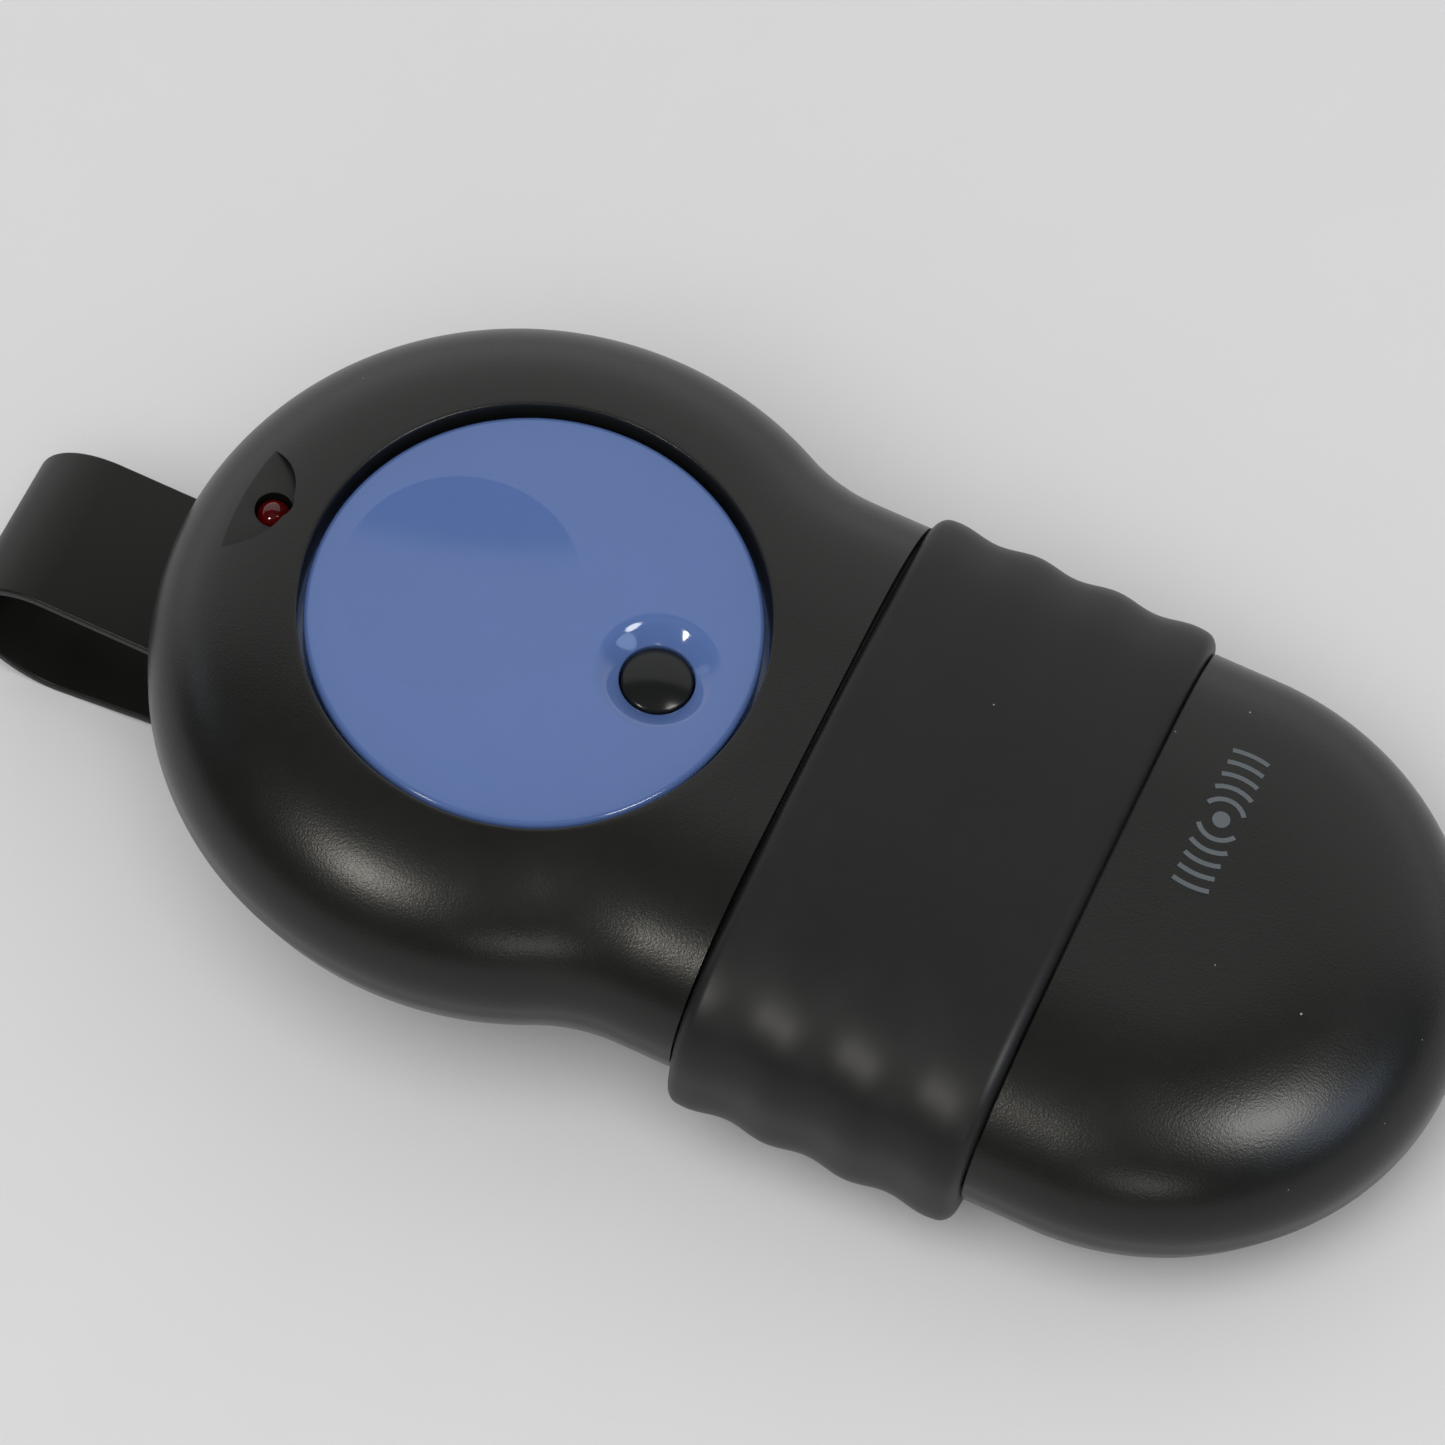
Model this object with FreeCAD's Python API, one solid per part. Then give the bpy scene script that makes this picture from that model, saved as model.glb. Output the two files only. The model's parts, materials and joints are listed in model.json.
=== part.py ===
import FreeCAD, Part
import math
import os

# Pager with one large call button, a small mute button, a rubber grip and a sprung belt clip. Millimetres.
# Everything is drawn with X running from the call button's axis towards the tail, Y across, and Z up from
# the parting plane of the two case halves. Each piece is then moved so that the origin is under the middle
# of the whole pager, at the height of the belt clip's lowest point.

V = FreeCAD.Vector
os.makedirs("parts", exist_ok=True)

# Case outline: a round head, concave necks, straight waist sides and a round tail
head_r = 31.6
head_x = -0.6
neck_r = 14.0
waist_w = 26.6
tail_x = 57.7
tail_end = tail_x + waist_w
neck_y = waist_w + neck_r
neck_x = head_x + math.sqrt((head_r + neck_r) ** 2 - neck_y**2)
wall = 2.0

# Case section: a short upright wall, then a long crowned edge to a flat top; a smaller rounded edge at the back
crown_depth = 18.4
crown_base = 2.0
crown_power = 2.6
head_rise = 11.2
tail_rise = 10.4
back_step = 0.8
back_depth = 8.0
back_base = 0.6
back_rise = 8.7
back_z = -(back_base + back_rise)
floor_z = back_z + wall
crown_split = 40.0

# Rubber grip: a ribbed sleeve in a shallow channel round the waist
grip_x0 = 25.6
grip_x1 = 51.6
grip_gap = 0.2
grip_crest = 28.05
grip_valley = 27.55
grip_first_crest = 27.5
grip_pitch = 7.3
grip_top = 13.45
grip_bottom = 10.6
channel_w = 25.6
channel_top = 11.9
channel_bottom = 8.6

# Call button
call_r = 19.1
call_top = 11.8
call_plate = 2.4
opening_r = 19.9
collar_r = 21.2
collar_z = 8.9
flange_r = 20.8
flange_z = 7.4
flange_t = 1.2
skirt_t = 1.5
skirt_z = 5.0
dish_x = -6.8
dish_r = 10.3
dish_depth = 0.9
funnel_r = 4.9
funnel_bottom = 10.2
funnel_wall = 1.6
boss_z = 7.5
post_x = -3.0
post_r = 2.0

# Mute button
mute_x = 11.3
mute_r = 3.0
mute_hole_r = 3.2
mute_top = 10.1
mute_dome = 0.9
mute_flange_r = 4.4
mute_flange_z = 5.0
mute_stem_r = 1.6

# Board and switches
board_t = 1.6
board_z = -1.0
board_inset = 3.2
board_end = 51.5
switch_side = 6.0
switch_h = 3.5
plunger_r = 1.75
plunger_up = 1.5
plunger_in = 0.9
running = 0.05
touch = 0.05

# Vibration motor and antenna, both lying across the board
motor_x = 31.0
motor_z = 2.4
motor_r = 3.0
motor_y0 = 10.0
motor_y1 = 19.0
weight_r = 2.8
weight_len = 2.8
antenna_x = 48.0
antenna_z = 2.6
antenna_r = 2.5
antenna_half = 17.0
winding_half = 9.0
winding_t = 0.6

# Indicator
led_x = -24.1
led_r = 1.5
led_top = 10.7
led_hole_r = 1.7
lead_r = 0.25
lead_places = (-1.27, 1.27)
scoop_x = -28.0
scoop_r = 5.3
scoop_z = 10.55

# Belt clip: a steel strip folded into a loop behind the head
clip_w = 15.2
clip_t = 1.0
clip_nose = -50.7
clip_loop_r = 8.1
clip_fixed_end = 6.0
clip_slope = 11.0
clip_run = 42.0
clip_kick = 9.0
clip_kick_r = 30.0
clip_reach = 15.5
clip_flare = 50.0
clip_flare_r = 3.0
clip_tip = 2.0
clip_gap = 0.15
rivet_places = (-18.0, -6.0)

# Battery: one CR2 cell across the tail
cell_r = 7.8
cell_len = 27.0
cell_x = 64.0
cell_z = 1.6
tray_y = 16.6
tray_wall = 0.8
tray_low = -5.0
door_x0 = 54.0
door_w = 14.4
door_top = -2.2
door_gap = 0.15
tongue_reach = 1.4
tongue_half = 4.0
tongue_z0 = floor_z + 0.1
tongue_z1 = floor_z + 0.8
ridge_places = (66.0, 68.0, 70.0)
ridge_half = 6.0

# Screws
case_screw_places = ((-18.0, 19.5), (19.5, 20.0), (56.0, 20.6))
board_screw_places = ((40.0, 16.0), (40.0, -16.0))
boss_r = 2.6
case_shank_r = 1.0
case_head_r = 2.0
case_head_t = 1.4
case_head_z = -5.4
board_shank_r = 0.9
board_head_r = 1.8
post_board_r = 2.4

# Rivets
rivet_r = 1.2
rivet_head_r = 2.2
rivet_head_t = 0.6
plate_t = 1.0

# Seal between the halves, and chips on the board: X, Y, length, width, height
seal_out = 1.2
seal_in = 1.7
seal_half = 0.5
processor = (0.0, 12.0, 7.0, 7.0, 1.0)
radio = (38.0, 0.0, 13.0, 10.0, 2.6)
buzzer_x = 31.0
buzzer_y = -14.0
buzzer_r = 6.0
buzzer_h = 6.5
buzzer_hole_r = 1.1
capacitor_places = ((-8, -9), (-8, -12), (-12, -9), (-12, -12), (8, -10), (8, -13), (27, 4), (27, 1), (27, -2))

to_base = V(-(clip_nose + tail_end) / 2, 0, clip_loop_r - back_z + clip_loop_r)


def save(name, shape):
    """Move a finished piece to the pager's own origin and write it."""
    moved = shape.copy()
    moved.translate(to_base)
    assert moved.isValid(), name
    moved.exportStep("parts/" + name + ".step")


def cylinder(x, y, z0, z1, r):
    return Part.makeCylinder(r, z1 - z0, V(x, y, z0))


def ring(x, y, z0, z1, r_in, r_out):
    return cylinder(x, y, z0, z1, r_out).cut(cylinder(x, y, z0 - 1, z1 + 1, r_in))


def block(x0, x1, y0, y1, z0, z1):
    return Part.makeBox(x1 - x0, y1 - y0, z1 - z0, V(x0, y0, z0))


def both_sides(shape):
    """A shape and its mirror image across the middle plane."""
    return [shape, shape.mirror(V(0, 0, 0), V(0, 1, 0))]


def line(a, b):
    return Part.LineSegment(a, b).toShape()


# --- case halves ---


def crown_points(base, rise, depth, power, steps=9):
    """Distance in from the wall and height, for a superelliptic edge from an upright start to a flat end."""
    points = []
    for i in range(steps):
        t = math.pi / 2 * i / (steps - 1)
        points.append((depth * (1 - math.cos(t) ** (2 / power)), base + rise * math.sin(t)))
    return points


def crown_curve(points, place):
    """The edge as one smooth curve, with place() turning (distance, height) into a point."""
    spots = [place(d, z) for d, z in points]
    curve = Part.BSplineCurve()
    upright = place(0, 1) - place(0, 0)
    inward = place(1, 0) - place(0, 0)
    curve.interpolate(Points=spots, InitialTangent=upright, FinalTangent=inward)
    return curve.toShape()


def turned_face(points, wall_at, inward, far):
    """Section for turning: distances run inward from the wall's radius to the far radius."""

    def place(d, z):
        return V(wall_at + inward * d, 0, z)

    curve = crown_curve(points, place)
    top = points[-1][1]
    last = place(*points[-1])
    edges = [
        line(V(wall_at, 0, 0), place(*points[0])),
        curve,
        line(last, V(far, 0, top)),
        line(V(far, 0, top), V(far, 0, 0)),
        line(V(far, 0, 0), V(wall_at, 0, 0)),
    ]
    return Part.Face(Part.Wire(edges))


def waist_block(points, half_width, x0, x1):
    """The straight part of the case: the same section on both sides, run along X."""
    edges = []
    tops = []
    for side in (1, -1):

        def place(d, z, side=side):
            return V(x0, side * (half_width - d), z)

        edges.append(line(V(x0, side * half_width, 0), place(*points[0])))
        edges.append(crown_curve(points, place))
        tops.append(place(*points[-1]))
    edges.append(line(tops[0], tops[1]))
    edges.append(line(V(x0, half_width, 0), V(x0, -half_width, 0)))
    face = Part.Face(Part.Wire(Part.__sortEdges__(edges)))
    return face.extrude(V(x1 - x0, 0, 0))


def keyhole(inset, head_points, tail_points):
    """The whole outline with its crowned edge, standing on the parting plane."""
    lean = math.degrees(math.atan2(neck_y, neck_x - head_x))
    head = turned_face(head_points, head_r - inset, -1, 0)
    head = head.revolve(V(0, 0, 0), V(0, 0, 1), 360 - 2 * lean)
    head.rotate(V(0, 0, 0), V(0, 0, 1), lean)
    head.translate(V(head_x, 0, 0))

    neck = turned_face(head_points, neck_r + inset, 1, head_r + neck_r)
    neck = neck.revolve(V(0, 0, 0), V(0, 0, 1), 90 - lean)
    neck.rotate(V(0, 0, 0), V(0, 0, 1), 180 + lean)
    neck.translate(V(neck_x, neck_y, 0))
    neck = neck.common(block(-head_r, tail_end, 0, 2 * head_r, -1, 30))

    waist = waist_block(head_points, waist_w - inset, neck_x, crown_split)
    rear = waist_block(tail_points, waist_w - inset, crown_split, tail_x)
    tail = turned_face(tail_points, waist_w - inset, -1, 0)
    tail = tail.revolve(V(0, 0, 0), V(0, 0, 1), 180)
    tail.rotate(V(0, 0, 0), V(0, 0, 1), -90)
    tail.translate(V(tail_x, 0, 0))
    return head.fuse(both_sides(neck) + [waist, rear, tail]).removeSplitter()


def edge_points(inset, base, rise, depth, power):
    """Points of an edge moved in and down by inset; a little upright wall is always left."""
    low = max(base - inset, 0.2)
    return crown_points(low, base + rise - inset - low, depth, power)


def top_block(inset, rise):
    """The crowned top; rise is the height of its head and waist, and the tail is always at tail_rise."""
    head = edge_points(inset, crown_base, rise, crown_depth, crown_power)
    tail = edge_points(inset, crown_base, tail_rise, crown_depth, crown_power)
    return keyhole(inset, head, tail)


def bottom_block(inset):
    """The rounded back; its outside stands in from the top's wall by a small step."""
    points = edge_points(inset, back_base, back_rise, back_depth, 2.0)
    return keyhole(max(inset, back_step), points, points).mirror(V(0, 0, 0), V(0, 0, 1))


def outline_face(inset, z):
    """Flat face of the case outline, moved in by inset."""
    hr = head_r - inset
    nr = neck_r + inset
    w = waist_w - inset
    reach = head_r + neck_r
    ux = (neck_x - head_x) / reach
    uy = neck_y / reach
    lean = math.atan2(uy, ux)
    join = V(head_x + hr * ux, hr * uy, z)
    turn = (math.pi + lean + 1.5 * math.pi) / 2
    neck_mid = V(neck_x + nr * math.cos(turn), neck_y + nr * math.sin(turn), z)
    neck_end = V(neck_x, w, z)
    tail_start = V(tail_x, w, z)

    def flip(p):
        return V(p.x, -p.y, p.z)

    edges = [
        Part.Arc(join, V(head_x - hr, 0, z), flip(join)).toShape(),
        Part.Arc(flip(join), flip(neck_mid), flip(neck_end)).toShape(),
        line(flip(neck_end), flip(tail_start)),
        Part.Arc(flip(tail_start), V(tail_x + w, 0, z), tail_start).toShape(),
        line(tail_start, neck_end),
        Part.Arc(neck_end, neck_mid, join).toShape(),
    ]
    return Part.Face(Part.Wire(edges))


def waist_channel():
    """What the case loses round its waist so that the grip can sit in it."""
    x0 = grip_x0 - grip_gap
    x1 = grip_x1 + grip_gap
    around = block(x0, x1, -40, 40, -20, 20)
    core = grip_section(channel_w, channel_top, channel_bottom, x0)
    return around.cut(core.extrude(V(x1 - x0, 0, 0)))


def case_bosses(z0, z1, r):
    posts = []
    for x, y in case_screw_places:
        posts += both_sides(cylinder(x, y, z0, z1, r))
    return posts


def top_case(channel):
    outer = top_block(0, head_rise)
    inner = top_block(wall, tail_rise)
    collar = ring(0, 0, collar_z, call_top, opening_r, collar_r)
    inside = [collar] + case_bosses(0.2, 12, boss_r)
    shell = outer.cut(inner).cut(channel)
    room = outer.common(inner)
    shell = shell.fuse([piece.common(room) for piece in inside])
    shell = shell.cut(cylinder(0, 0, 0, 20, opening_r))
    shell = shell.cut([cylinder(scoop_x, 0, scoop_z, 20, scoop_r), cylinder(led_x, 0, 0, 20, led_hole_r)])
    shell = shell.cut(case_bosses(0, 8, case_shank_r + 0.02))
    return shell.cut(seal_block()).removeSplitter()


def seal_block():
    """A thin rubber ring pressed between the two halves, just inside the outer wall."""
    ring_face = outline_face(seal_out, -seal_half).cut(outline_face(seal_in, -seal_half))
    return ring_face.extrude(V(0, 0, 2 * seal_half))


def door_zone(gap):
    """The part of the back that the battery door takes, grown by gap."""
    return block(door_x0 - gap, tail_end + 5, -door_w - gap, door_w + gap, back_z - 1, door_top + gap)


def rivet_holes(z0, z1):
    return [cylinder(x, 0, z0, z1, rivet_r + 0.05) for x in rivet_places]


def bottom_case(channel, shell):
    bosses = case_bosses(back_z, -0.2, boss_r)
    posts = [cylinder(x, y, floor_z - 0.5, board_z - board_t, post_board_r) for x, y in board_screw_places]
    outer = bottom_block(0)
    case = shell.cut(channel).cut(door_zone(door_gap))
    case = case.fuse([piece.common(outer) for piece in bosses + posts])
    case = case.cut(case_bosses(back_z - 1, 0, case_shank_r + 0.15))
    case = case.cut(case_bosses(back_z - 1, case_head_z, case_head_r + 0.15))
    case = case.cut([cylinder(x, y, floor_z, board_z, board_shank_r + 0.02) for x, y in board_screw_places])
    case = case.cut(rivet_holes(back_z - 1, floor_z + 1))
    return case.cut(seal_block()).removeSplitter()


def battery_door(shell):
    """Slides off over the tail; a small tongue hooks behind the floor's edge at its front."""
    door = shell.common(door_zone(0))
    x0 = door_x0 - tongue_reach
    x1 = door_x0 + 2
    tongue = block(x0, x1, -tongue_half, tongue_half, tongue_z0, tongue_z1)
    root = block(door_x0, x1, -tongue_half, tongue_half, floor_z - 0.5, tongue_z1)
    ridges = [block(x, x + 0.8, -ridge_half, ridge_half, back_z, back_z + 0.3) for x in ridge_places]
    return door.fuse([tongue, root]).cut(ridges).removeSplitter()


# --- grip ---


def grip_section(half_width, top, bottom, x):
    """Closed superelliptic section, flatter at the back than on top."""
    points = []
    steps = 32
    for i in range(steps):
        t = 2 * math.pi * i / steps
        c = math.cos(t)
        s = math.sin(t)
        power = 3.0 if s > 0 else 3.6
        y = half_width * math.copysign(abs(c) ** (2 / power), c)
        z = (top if s > 0 else bottom) * math.copysign(abs(s) ** (2 / power), s)
        points.append(V(x, y, z))
    curve = Part.BSplineCurve()
    curve.interpolate(Points=points, PeriodicFlag=True)
    return Part.Face(Part.Wire(curve.toShape()))


def grip_sleeve():
    middle = (grip_crest + grip_valley) / 2
    ribs = [(grip_x0, middle), (grip_first_crest, grip_crest)]
    for i in range(1, 7):
        x = grip_first_crest + grip_pitch / 2 * i
        ribs.append((x, grip_valley if i % 2 else grip_crest))
    ribs.append((grip_x1, middle))
    wires = [grip_section(w, grip_top, grip_bottom, x).OuterWire for x, w in ribs]
    outer = Part.makeLoft(wires, True, False)
    core = grip_section(channel_w, channel_top, channel_bottom, grip_x0 - 1)
    return outer.cut(core.extrude(V(grip_x1 - grip_x0 + 2, 0, 0)))


# --- buttons and switches ---


def call_button():
    """Round plate with a skirt and a retaining flange, a thumb dish and a funnel for the mute button."""
    plate_z = call_top - call_plate
    plate = cylinder(0, 0, plate_z, call_top, call_r)
    rim = plate.Edges[[e.BoundBox.ZMin > call_top - 0.01 for e in plate.Edges].index(True)]
    plate = plate.makeFillet(0.5, [rim])
    skirt = ring(0, 0, skirt_z, plate_z, call_r - skirt_t, call_r)
    flange = ring(0, 0, flange_z, flange_z + flange_t, call_r - skirt_t, flange_r)
    boss = cylinder(mute_x, 0, boss_z, plate_z, mute_hole_r + funnel_wall)
    switch_top = board_z + switch_h + plunger_up
    post = cylinder(post_x, 0, switch_top + touch, plate_z, post_r)
    button = plate.fuse([skirt, flange, boss, post])
    ball_r = (dish_r**2 + dish_depth**2) / (2 * dish_depth)
    dish = Part.makeSphere(ball_r, V(dish_x, 0, call_top + ball_r - dish_depth))
    depth = call_top - funnel_bottom
    funnel = Part.makeCone(mute_hole_r + 0.1, funnel_r, depth, V(mute_x, 0, funnel_bottom))
    hole = cylinder(mute_x, 0, boss_z - 1, call_top, mute_hole_r)
    return button.cut([dish, funnel, hole]).removeSplitter()


def mute_button():
    cap = cylinder(mute_x, 0, mute_flange_z, mute_top, mute_r)
    ball_r = (mute_r**2 + mute_dome**2) / (2 * mute_dome)
    dome = Part.makeSphere(ball_r, V(mute_x, 0, mute_top + mute_dome - ball_r))
    dome = dome.common(cylinder(mute_x, 0, mute_top, mute_top + 2, mute_r))
    flange = cylinder(mute_x, 0, mute_flange_z, mute_flange_z + 1, mute_flange_r)
    switch_top = board_z + switch_h + plunger_up
    stem = cylinder(mute_x, 0, switch_top + touch, mute_flange_z, mute_stem_r)
    return cap.fuse([dome, flange, stem]).removeSplitter()


def switch_body(x):
    half = switch_side / 2
    body = block(x - half, x + half, -half, half, board_z, board_z + switch_h)
    bore = cylinder(x, 0, board_z + 0.6, board_z + switch_h, plunger_r + running)
    return body.cut(bore)


def switch_plunger(x):
    top = board_z + switch_h + plunger_up
    return cylinder(x, 0, board_z + switch_h - plunger_in, top, plunger_r)


def call_spring():
    """Compression spring round the switch, from the board to the underside of the call button."""
    wire_r = 0.35
    coil_r = 5.2
    z0 = board_z + wire_r
    height = call_top - call_plate - wire_r - z0
    return coil(V(post_x, 0, z0), coil_r, wire_r, height, 5)


def coil(foot, coil_r, wire_r, height, turns):
    helix = Part.makeHelix(height / turns, height, coil_r)
    section = Part.Wire(Part.Circle(V(coil_r, 0, 0), V(0, 1, 0), wire_r).toShape())
    spring = Part.Wire(helix.Edges).makePipeShell([section], True, True)
    spring.translate(foot)
    return spring


def button_guide():
    """Ring on the board that keeps the call button's skirt upright."""
    guide = ring(0, 0, board_z, 6.0, call_r + 0.3, collar_r + 0.4)
    slots = [block(-3, 3, -30, 30, board_z, 3.0), block(-30, 30, -3, 3, board_z, 3.0)]
    return guide.cut(slots)


# --- board and what stands on it ---


def circuit_board():
    face = outline_face(board_inset, board_z - board_t)
    board = face.extrude(V(0, 0, board_t))
    board = board.common(block(-40, board_end, -40, 40, -10, 10))
    board = board.cut(case_bosses(-10, 10, boss_r + 0.3))
    board = board.cut([cylinder(led_x, y, -10, 10, lead_r + 0.02) for y in lead_places])
    return board.cut([cylinder(x, y, -10, 10, board_shank_r + 0.05) for x, y in board_screw_places])


def indicator_led():
    lens = cylinder(led_x, 0, 3.0, led_top - led_r, led_r)
    lens = lens.fuse(Part.makeSphere(led_r, V(led_x, 0, led_top - led_r)))
    return lens.fuse(cylinder(led_x, 0, 3.0, 4.0, 1.9)).removeSplitter()


def led_leads():
    return Part.makeCompound([cylinder(led_x, y, board_z - board_t - 0.8, 3.0, lead_r) for y in lead_places])


def led_spacer():
    spacer = cylinder(led_x, 0, board_z, 3.0, 2.2)
    return spacer.cut([cylinder(led_x, y, board_z, 3.0, lead_r + 0.02) for y in lead_places])


def chip(x, y, length, width, height):
    return block(x - length / 2, x + length / 2, y - width / 2, y + width / 2, board_z, board_z + height)


def crystal_can():
    can = block(-15.0, -10.0, 8.5, 11.5, board_z, board_z + 2.5)
    ends = [e for e in can.Edges if abs(e.tangentAt(0).z) > 0.9]
    return can.makeFillet(1.2, ends)


def capacitor_group():
    """Small surface parts in rows beside the chips."""
    return Part.makeCompound([chip(x, y, 1.6, 0.8, 0.8) for x, y in capacitor_places])


def along_y(x, z, y0, y1, r):
    return Part.makeCylinder(r, y1 - y0, V(x, y0, z), V(0, 1, 0))


def motor_can():
    can = along_y(motor_x, motor_z, motor_y0, motor_y1, motor_r)
    return can.cut(along_y(motor_x, motor_z, motor_y0, motor_y0 + 3, 0.45))


def motor_weight():
    """Half-round weight on the motor's shaft."""
    end = motor_y0 - 0.4 - weight_len
    weight = along_y(motor_x, motor_z, end, motor_y0 - 0.4, weight_r)
    weight = weight.cut(block(motor_x - 5, motor_x + 5, 0, 20, motor_z + 0.7, 20))
    return weight.fuse(along_y(motor_x, motor_z, end, motor_y0 + 2.5, 0.4)).removeSplitter()


def motor_clip():
    """Rubber-lined saddle that holds the motor to the board."""
    saddle = block(motor_x - 4, motor_x + 4, motor_y0 + 2, motor_y1 - 2, board_z, motor_z + 1)
    return saddle.cut(along_y(motor_x, motor_z, motor_y0, motor_y1, motor_r))


def buzzer():
    top = board_z + buzzer_h
    body = cylinder(buzzer_x, buzzer_y, board_z, top, buzzer_r)
    return body.cut(cylinder(buzzer_x, buzzer_y, top - 2, top, buzzer_hole_r))


def antenna_rod():
    return along_y(antenna_x, antenna_z, -antenna_half, antenna_half, antenna_r)


def antenna_coil():
    winding = along_y(antenna_x, antenna_z, -winding_half, winding_half, antenna_r + winding_t)
    return winding.cut(antenna_rod())


def antenna_cradles():
    cradles = []
    for y in (-14.5, 12.0):
        cradle = block(antenna_x - 3.2, antenna_x + 3.2, y, y + 2.5, board_z, antenna_z)
        cradles.append(cradle.cut(antenna_rod()))
    return Part.makeCompound(cradles)


# --- battery ---


def battery_tray():
    """Frame round the cell: two end walls for the contacts, joined by a rib on each side."""
    x0 = cell_x - cell_r - 0.6
    x1 = cell_x + cell_r + 0.6
    top = cell_z + 0.5
    y1 = tray_y - tray_wall
    tray = block(x0, x1, -tray_y, tray_y, tray_low, top)
    inside = block(x0 + 0.5, x1 - 0.5, -y1, y1, tray_low - 1, top + 1)
    below = block(x0 - 1, x1 + 1, -y1, y1, tray_low - 1, tray_low + 3.0)
    return tray.cut([inside, below]).removeSplitter()


def battery_cell():
    can = along_y(cell_x, cell_z, -cell_len / 2, cell_len / 2 - 1.0, cell_r)
    return can.fuse(along_y(cell_x, cell_z, cell_len / 2 - 1.0, cell_len / 2, 3.2)).removeSplitter()


def battery_contact():
    """Springy plate between the cell's button and the tray's end wall, with a folded foot."""
    y1 = tray_y - tray_wall
    plate = block(cell_x - 4, cell_x + 4, y1 - 0.4, y1, tray_low, cell_z)
    dimple = along_y(cell_x, cell_z - 1.5, cell_len / 2 + 0.05, y1 - 0.4, 1.2)
    return plate.fuse(dimple).removeSplitter()


def battery_spring():
    """Leaf folded like a V, which presses the cell against its contact."""
    y0 = -tray_y + tray_wall
    y1 = -cell_len / 2 - 0.05
    z0 = cell_z - 4.5
    z1 = cell_z + 3.0
    t = 0.35
    outline = [
        V(0, y0, tray_low),
        V(0, y0 + t, tray_low),
        V(0, y0 + t, z1 - t),
        V(0, y1 - t, (z0 + z1) / 2),
        V(0, y1 - t - 0.6, z0),
        V(0, y1 - 0.6, z0),
        V(0, y1, (z0 + z1) / 2),
        V(0, y0 + t, z1),
        V(0, y0, z1),
    ]
    leaf = Part.Face(Part.makePolygon(outline + outline[:1]))
    leaf.translate(V(cell_x - 2.5, 0, 0))
    return leaf.extrude(V(5, 0, 0))


# --- belt clip ---


def clip_point(radius, degrees):
    """Point on the loop's circle, measured from the tail side upwards."""
    turn = math.radians(degrees)
    centre_x = clip_nose + clip_loop_r
    centre_z = back_z - clip_loop_r
    return V(centre_x + radius * math.cos(turn), 0, centre_z + radius * math.sin(turn))


def strip(face):
    """A flat section across the clip, made as wide as the strip."""
    face.translate(V(0, -clip_w / 2, 0))
    return face.extrude(V(0, clip_w, 0))


def loop_part(start, stop):
    inner = clip_loop_r - clip_t
    middle = (start + stop) / 2
    edges = [
        Part.Arc(clip_point(clip_loop_r, start), clip_point(clip_loop_r, middle), clip_point(clip_loop_r, stop)),
        Part.LineSegment(clip_point(clip_loop_r, stop), clip_point(inner, stop)),
        Part.Arc(clip_point(inner, stop), clip_point(inner, middle), clip_point(inner, start)),
        Part.LineSegment(clip_point(inner, start), clip_point(clip_loop_r, start)),
    ]
    return strip(Part.Face(Part.Wire([e.toShape() for e in edges])))


def clip_fixed_leaf():
    """Upper leaf, flat against the back of the case, with the upper half of the fold."""
    split = 180 - math.degrees(clip_gap / 2 / clip_loop_r)
    bend = loop_part(90, split)
    start = clip_nose + clip_loop_r
    half = clip_w / 2
    leaf = block(start, clip_fixed_end, -half, half, back_z - clip_t, back_z)
    leaf = leaf.fuse(bend).removeSplitter()
    return leaf.cut(rivet_holes(back_z - 3, back_z + 1))


def clip_spring_leaf():
    """Lower half of the fold, the long springing run, the kick up to the case and the flared tip."""
    split = 180 + math.degrees(clip_gap / 2 / clip_loop_r)
    bend = loop_part(split, 270 + clip_slope)
    place = clip_point(clip_loop_r - clip_t / 2, 270 + clip_slope)
    heading = clip_slope
    edges = [line(*offset_pair(place, heading))]
    course = [(clip_run, 0), (clip_kick_r, clip_kick), (clip_reach, 0), (clip_flare_r, -clip_flare), (clip_tip, 0)]
    for size, turn in course:
        start = offset_pair(place, heading)
        if turn == 0:
            u = math.radians(heading)
            place = place + V(math.cos(u), 0, math.sin(u)) * size
            end = offset_pair(place, heading)
            edges += [line(start[k], end[k]) for k in (0, 1)]
        else:
            middle = offset_pair(turned(place, heading, size, turn / 2), heading + turn / 2)
            place = turned(place, heading, size, turn)
            heading = heading + turn
            end = offset_pair(place, heading)
            edges += [Part.Arc(start[k], middle[k], end[k]).toShape() for k in (0, 1)]
    edges.append(line(*offset_pair(place, heading)))
    run = strip(Part.Face(Part.Wire(Part.__sortEdges__(edges))))
    return bend.fuse(run).removeSplitter()


def turned(place, heading, radius, turn):
    """Where the strip's middle line ends after it turns by some degrees at a radius."""
    side = 1 if turn > 0 else -1
    u = math.radians(heading)
    v = math.radians(heading + turn)
    centre = place + V(-math.sin(u), 0, math.cos(u)) * (side * radius)
    return centre - V(-math.sin(v), 0, math.cos(v)) * (side * radius)


def offset_pair(place, heading):
    """The two faces of the strip at a point of its middle line."""
    u = math.radians(heading)
    normal = V(-math.sin(u), 0, math.cos(u)) * (clip_t / 2)
    return place + normal, place - normal


def clip_rivets():
    rivets = []
    for x in rivet_places:
        shank = cylinder(x, 0, back_z - clip_t, floor_z + plate_t, rivet_r)
        head = cylinder(x, 0, back_z - clip_t - rivet_head_t, back_z - clip_t, rivet_head_r)
        upset = cylinder(x, 0, floor_z + plate_t, floor_z + plate_t + rivet_head_t, rivet_head_r - 0.2)
        rivets.append(shank.fuse([head, upset]).removeSplitter())
    return Part.makeCompound(rivets)


def clip_backing_plate():
    plate = block(min(rivet_places) - 4, max(rivet_places) + 4, -6, 6, floor_z, floor_z + plate_t)
    return plate.cut(rivet_holes(floor_z, floor_z + plate_t))


# --- screws ---


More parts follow.
